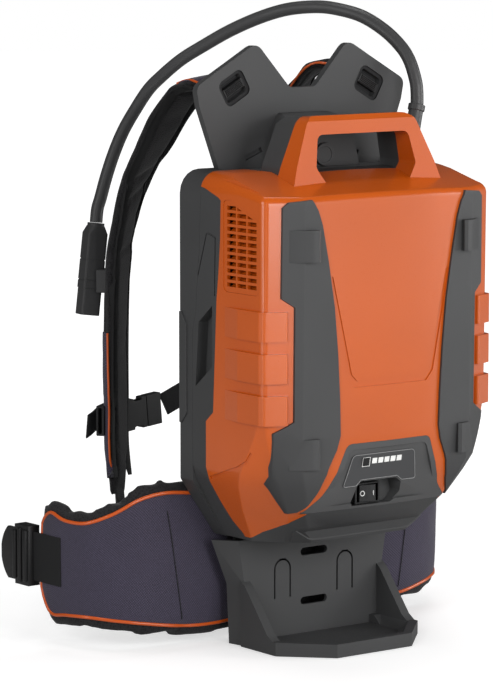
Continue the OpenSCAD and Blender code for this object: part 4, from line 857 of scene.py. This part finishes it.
# Brings a wing back to its cut height at every place along it
def stretchUpright(piece):
    pts = throughPoints([(w[0], w[1], 0) for w in hipFacts["wing"]], 3)
    tops = [q.z for q in throughPoints([(0, 0, w[2]) for w in hipFacts["wing"]], 3)]
    lows = [q.z for q in throughPoints([(0, 0, w[3]) for w in hipFacts["wing"]], 3)]
    near = []
    for v in piece.data.vertices:
        here = Vector((abs(v.co.x), v.co.y, 0))
        near.append(min(range(len(pts)), key=lambda i: (pts[i] - here).length_squared))
    high, deep = [-1.0] * len(pts), [1.0] * len(pts)
    for v, i in zip(piece.data.vertices, near):
        high[i], deep[i] = max(high[i], v.co.z), min(deep[i], v.co.z)
    for i in range(len(pts)):
        if high[i] < 0:
            high[i], deep[i] = tops[i], lows[i]
    soft = []
    for i in range(len(pts)):
        span = range(max(0, i - 2), min(len(pts), i + 3))
        soft.append((sum(tops[k] - high[k] for k in span) / len(span),
                     sum(lows[k] - deep[k] for k in span) / len(span)))
    for v, i in zip(piece.data.vertices, near):
        share = min(1, max(0, (v.co.z - deep[i]) / (high[i] - deep[i])))
        v.co.z += soft[i][0] * share + soft[i][1] * (1 - share)


def softPad(nodeName, shrink, voxel, pressure, most, fill):
    piece = cadCopy(nodeName, nodeName + "_sewn")
    applyMod(piece, "pullIn", "DISPLACE", strength=-shrink, mid_level=0)
    applyMod(piece, "evenMesh", "REMESH", mode="VOXEL", voxel_size=voxel)
    applyMod(piece, "ease", "SMOOTH", factor=0.5, iterations=4)
    swell(piece, pressure, most)
    if "hip" in nodeName:
        stretchUpright(piece)
    applyMod(piece, "fine", "SUBSURF", levels=1, render_levels=1)
    bpy.ops.object.shade_smooth()
    padShapes[nodeName] = closenessOf(piece)
    stand(piece, nodeName)
    finish(piece, "strap_fabric")


for nodeName, facts in pads.items():
    softPad(nodeName, *facts)
print("padded pieces sewn")

# Routes of the bands: points in metres and the turn of their width in plan, for the right side
strapFacts = {
    "left": [(0.084, 0.0313, 0.552, -2), (0.086, 0.060, 0.568, -4), (0.088, 0.092, 0.563, -7),
             (0.090, 0.127, 0.533, -12), (0.090, 0.155, 0.500, -19), (0.090, 0.179, 0.474, -26)],
    "right": [(0.084, 0.0333, 0.552, -2), (0.087, 0.044, 0.573, 10), (0.081, 0.062, 0.582, 28),
              (0.070, 0.084, 0.581, 38), (0.065, 0.108, 0.563, 40), (0.069, 0.136, 0.532, 20),
              (0.080, 0.160, 0.502, 0), (0.088, 0.180, 0.474, -20)],
    "low": [(0.090, 0.194, 0.449, -31), (0.090, 0.206, 0.421, -36), (0.090, 0.218, 0.388, -38),
            (0.090, 0.223, 0.340, -38), (0.090, 0.225, 0.280, -38), (0.090, 0.225, 0.226, -38),
            (0.090, 0.225, 0.175, -38), (0.090, 0.217, 0.121, -36)],
    "width": 0.062, "steps": 6, "used": (5, -3),
}


# Places along a band: centre, width direction, thickness direction
def bandPlaces(route, steps, side):
    pts = throughPoints([r[:3] for r in route], steps)
    turns = between([r[3] for r in route], steps)
    found = []
    for i, at in enumerate(pts):
        t = (pts[min(i + 1, len(pts) - 1)] - pts[max(i - 1, 0)]).normalized()
        flat = Vector((math.cos(math.radians(turns[i])), math.sin(math.radians(turns[i])), 0))
        v = t.cross(flat).normalized()
        u = v.cross(t).normalized()
        if side < 0:
            at, u, v = [Vector((-q.x, q.y, q.z)) for q in (at, u, v)]
        found.append((at, u, v))
    return found


# Point on a padded piece where a ray towards its middle line lands, lifted a little
def landOn(shape, middle, out, reach, lift):
    at, normal, face, far = shape.ray_cast(middle + out * reach, -out)
    return (at if at is not None else middle + out * 0.005) + out * lift


# Cover panels: a low one on both straps, and one at the top of the left strap
panelFacts = {"lowUnder": 0.305, "lowBehind": 0.15, "topRows": {"left": 7, "right": 20}, "columns": 18, "from": 172,
              "flare": 24, "flareRows": 6, "inset": 0.72, "reach": 0.03, "lift": 0.0006, "thick": 0.0008,
              "piping": 0.0013}
bindingFacts = {"across": (0.60, 0.68, 0.76, 0.84, 0.90), "reach": 0.03, "lift": 0.0007, "thick": 0.0014}


def panelRows(shape, span, flare):
    half = strapFacts["width"] / 2
    rows = []
    for number, (at, u, v) in enumerate(span):
        first = panelFacts["from"] + flare * max(0, 1 - number / panelFacts["flareRows"])
        row = []
        for k in range(panelFacts["columns"] + 1):
            angle = math.radians(first + k * ((540 - 2 * first) / panelFacts["columns"]))
            middle = at + u * math.cos(angle) * half * panelFacts["inset"]
            out = (u * math.cos(angle) ** 3 * 0.9 + v * math.sin(angle)).normalized()
            row.append(landOn(shape, middle, out, panelFacts["reach"], panelFacts["lift"]))
        rows.append(row)
    return rows


def dressStrap(sideName, side):
    strap = sideName + "_shoulder_strap"
    shape = padShapes[strap]
    first, last = strapFacts["used"]
    places = bandPlaces(strapFacts[sideName] + strapFacts["low"], strapFacts["steps"], side)[first:last]
    half = strapFacts["width"] / 2
    low = [p for p in places if p[0].z < panelFacts["lowUnder"] and p[0].y > panelFacts["lowBehind"]]
    top = places[:panelFacts["topRows"][sideName]]
    for stretch, span, flare in (("low", low, panelFacts["flare"]), ("top", top, 0)):
        rows = panelRows(shape, span, flare)
        if stretch == "low" or sideName == "left":
            panel = layGrid(sideName + "_strap_panel_" + stretch, rows)
            applyMod(panel, "cloth", "SOLIDIFY", thickness=panelFacts["thick"], offset=0)
            bpy.ops.object.shade_smooth()
            finish(panel, "hip_fabric")
            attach(panel, bodyOf(strap))
        for edgeName, column in (("outer", 0), ("inner", -1)):
            tubeName = sideName + "_strap_piping_" + stretch + "_" + edgeName
            tube = layTube(tubeName, [row[column] for row in rows], panelFacts["piping"])
            finish(tube, "piping_vinyl")
            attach(tube, bodyOf(strap))
    # binding sewn along both edges of the side towards the back
    for sign, edgeName in ((-1, "outer"), (1, "inner")):
        rows = [[landOn(shape, at + u * sign * half * w, v, bindingFacts["reach"], bindingFacts["lift"])
                 for w in bindingFacts["across"]] for at, u, v in places]
        strip = layGrid(sideName + "_strap_binding_" + edgeName, rows)
        applyMod(strip, "cloth", "SOLIDIFY", thickness=bindingFacts["thick"], offset=0)
        bpy.ops.object.shade_smooth_by_angle(angle=math.radians(50))
        finish(strip, "binding")
        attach(strip, bodyOf(strap))


dressStrap("left", -1)
dressStrap("right", 1)
print("straps dressed")


# The wing's panel draws in towards its tip; the seam is a row of small stitches across the wing
tipFacts = {"rows": 7, "topIn": 0.012, "lowIn": 0.016, "reach": 0.04, "lift": 0.0007, "thick": 0.0009}
seamFacts = {"x": (0.1400, 0.1585), "z": (0.024, 0.148), "count": 52, "margin": 2, "from": -0.02, "out": 0.0015,
             "every": 0.0006, "thick": 0.00045}


def hipPanelRows(shape, side):
    wing, steps = hipFacts["wing"], hipFacts["steps"]
    pts = throughPoints([(w[0], w[1], 0) for w in wing], steps)
    tops = throughPoints([(i, 0, w[2]) for i, w in enumerate(wing)], steps)
    lows = throughPoints([(i, 0, w[3]) for i, w in enumerate(wing)], steps)
    last = len(pts) - 3
    rows = []
    for i in range(1, last):
        t = (pts[i + 1] - pts[i - 1]).normalized()
        out, at = Vector((t.y, -t.x, 0)), pts[i].copy()
        if side < 0:
            at.x, out.x = -at.x, -out.x
        nearTip = max(0, (i - (last - tipFacts["rows"])) / tipFacts["rows"]) ** 2
        top = tops[i].z - hipFacts["border"] - tipFacts["topIn"] * nearTip
        low = lows[i].z + hipFacts["border"] + tipFacts["lowIn"] * nearTip
        heights = [low + (top - low) * k / hipFacts["columns"] for k in range(hipFacts["columns"] + 1)]
        rows.append([landOn(shape, Vector((at.x, at.y, z)), out, tipFacts["reach"], tipFacts["lift"])
                     for z in heights])
    return rows


def stitchHip(sideName, side):
    stitches = []
    for k in range(seamFacts["margin"], seamFacts["count"] - seamFacts["margin"]):
        share = k / seamFacts["count"]
        x, z = [a + (b - a) * share for a, b in (seamFacts["x"], seamFacts["z"])]
        start = Vector((side * x, seamFacts["from"], z))
        at, normal, face, far = padShapes[sideName + "_hip_pad"].ray_cast(start, Vector((0, 1, 0)))
        if at is not None:
            stitches.append(at - Vector((0, seamFacts["out"], 0)))
    for k in range(1, len(stitches) - 1, 2):
        stitches[k] = stitches[k] - Vector((0, seamFacts["every"], 0))
    row = layTube(sideName + "_hip_stitches", stitches, seamFacts["thick"], 6)
    finish(row, "groove_shadow")
    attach(row, bodyOf(sideName + "_hip_pad"))


def dressHip(sideName, side):
    rows = hipPanelRows(padShapes[sideName + "_hip_pad"], side)
    panel = layGrid(sideName + "_hip_panel", rows)
    turnOutwards(panel, 0.000001)
    applyMod(panel, "ease", "SMOOTH", factor=0.5, iterations=2)
    applyMod(panel, "fine", "SUBSURF", levels=1, render_levels=1)
    applyMod(panel, "cloth", "SOLIDIFY", thickness=tipFacts["thick"], offset=0)
    bpy.ops.object.shade_smooth()
    finish(panel, "hip_fabric")
    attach(panel, bodyOf(sideName + "_hip_pad"))
    ring = [row[-1] for row in rows] + list(reversed(rows[-1]))[1:-1] + [row[0] for row in reversed(rows)]
    tube = layTube(sideName + "_hip_piping", ring, hipFacts["piping"], 10)
    finish(tube, "piping_vinyl")
    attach(tube, bodyOf(sideName + "_hip_pad"))
    stitchHip(sideName, side)


dressHip("left", -1)
dressHip("right", 1)
print("hip pads dressed")


# Webbings from the frame to the adjusters
webFacts = {
    "lower": [(0.080, 0.031, 0.186, 0), (0.080, 0.038, 0.1855, 0), (0.080, 0.054, 0.174, 0),
              (0.082, 0.084, 0.138, 0), (0.086, 0.130, 0.100, -5), (0.088, 0.170, 0.084, -15),
              (0.089, 0.194, 0.078, -25), (0.0895, 0.2055, 0.0835, -34)],
    "steps": 6, "width": 0.025, "thick": 0.002, "columns": 6, "edge": 0.0005,
    "held": (0.080, 0.040, 0.186), "free": (0.0895, 0.2055, 0.0835),
}


# Flat strip along its places, each a centre, a width direction and a thickness direction
def layWebbing(name, places, width=webFacts["width"], thick=webFacts["thick"]):
    shares = [k / webFacts["columns"] - 0.5 for k in range(webFacts["columns"] + 1)]
    piece = layGrid(name, [[at + u * width * share for share in shares] for at, u, v in places])
    applyMod(piece, "thickness", "SOLIDIFY", thickness=thick, offset=0)
    applyMod(piece, "edge", "BEVEL", width=webFacts["edge"], segments=2, limit_method="ANGLE",
             angle_limit=math.radians(50))
    bpy.ops.object.shade_smooth_by_angle(angle=math.radians(50))
    return piece


def layLower(sideName, side):
    piece = layWebbing(sideName + "_lower_strap", bandPlaces(webFacts["lower"], webFacts["steps"], side))
    finish(piece, "webbing")
    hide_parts(sideName + "_lower_webbing")
    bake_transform(piece)


layLower("left", -1)
layLower("right", 1)

chestFacts = {
    "left": [(-0.0765, 0.2484, 0.2032), (-0.0645, 0.255, 0.2022)],
    "right": [(-0.0025, 0.261, 0.2092), (0.074, 0.2486, 0.245)],
}


def chestPlaces(a, b, count):
    a, b = Vector(a), Vector(b)
    along = (b - a).normalized()
    level = Vector((along.x, along.y, 0)).normalized()
    out = Vector((-level.y, level.x, 0))
    up = along.cross(out)
    return [(a + (b - a) * i / count, up, out) for i in range(count + 1)]


def layChest():
    piece = layWebbing("left_chest_band", chestPlaces(*chestFacts["left"], 4))
    stand(piece, "left_chest_webbing")
    piece = layWebbing("right_chest_band", chestPlaces(*chestFacts["right"], 12))
    finish(piece, "webbing")
    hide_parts("right_chest_webbing")
    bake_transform(piece)


layChest()

# Strap webbing behind each window of the yoke
windowWeb = {"centre": (0.0857, 0.0300, 0.5625), "turn": -29.4, "wide": 0.0300, "high": 0.046, "thick": 0.0018,
             "sag": [(-0.5, 0.0), (-0.3, 0.0), (-0.1, -0.0012), (0.1, -0.0012), (0.3, 0.0), (0.5, 0.0)]}


def layWindow(sideName, side):
    tilt = math.radians(windowWeb["turn"])
    wide = Vector((math.cos(tilt) * side, 0, math.sin(tilt)))
    up = Vector((-math.sin(tilt) * side, 0, math.cos(tilt)))
    x, y, z = windowWeb["centre"]
    places = [(Vector((x * side, y + depth, z)) + up * windowWeb["high"] * share, wide, up)
              for share, depth in windowWeb["sag"]]
    piece = layWebbing(sideName + "_window_webbing", places, windowWeb["wide"], windowWeb["thick"])
    finish(piece, "webbing")
    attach(piece, "yoke")


layWindow("left", -1)
layWindow("right", 1)

# Tab sewn into the lower end of each shoulder strap, which holds the adjuster
tab = {"route": [(0.090, 0.2205, 0.150, -37), (0.090, 0.2190, 0.136, -37), (0.090, 0.2170, 0.121, -36),
                 (0.090, 0.2150, 0.110, -36)],
       "steps": 3}


def layTab(sideName, side):
    piece = layWebbing(sideName + "_strap_tab", bandPlaces(tab["route"], tab["steps"], side))
    finish(piece, "webbing")
    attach(piece, bodyOf(sideName + "_adjuster"))


layTab("left", -1)
layTab("right", 1)

# Free end of the chest strap beside its left slider
tail = {"points": [(-0.0960, 0.2440, 0.2060), (-0.1020, 0.2440, 0.2040), (-0.1100, 0.2400, 0.2010),
                   (-0.1180, 0.2370, 0.1985)],
        "up": (0.10, 0.0, 0.995)}


def layTail():
    places = [(Vector(q), Vector(tail["up"]), Vector((0, 1, 0))) for q in tail["points"]]
    piece = layWebbing("left_chest_tail", places)
    finish(piece, "webbing")
    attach(piece, bodyOf("left_chest_slider"))


layTail()
print("webbings laid")


# The power cable leaves its boot, arches over the yoke and ends in the connector
def makeCable():
    points = throughPoints(cable["route"], cable["steps"])
    piece = layTube("power_lead", points, cable["thick"] / 2, cable["sides"])
    finish(piece, "cable_rubber")
    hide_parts("power_cable")
    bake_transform(piece)


makeCable()

print("all pieces made")
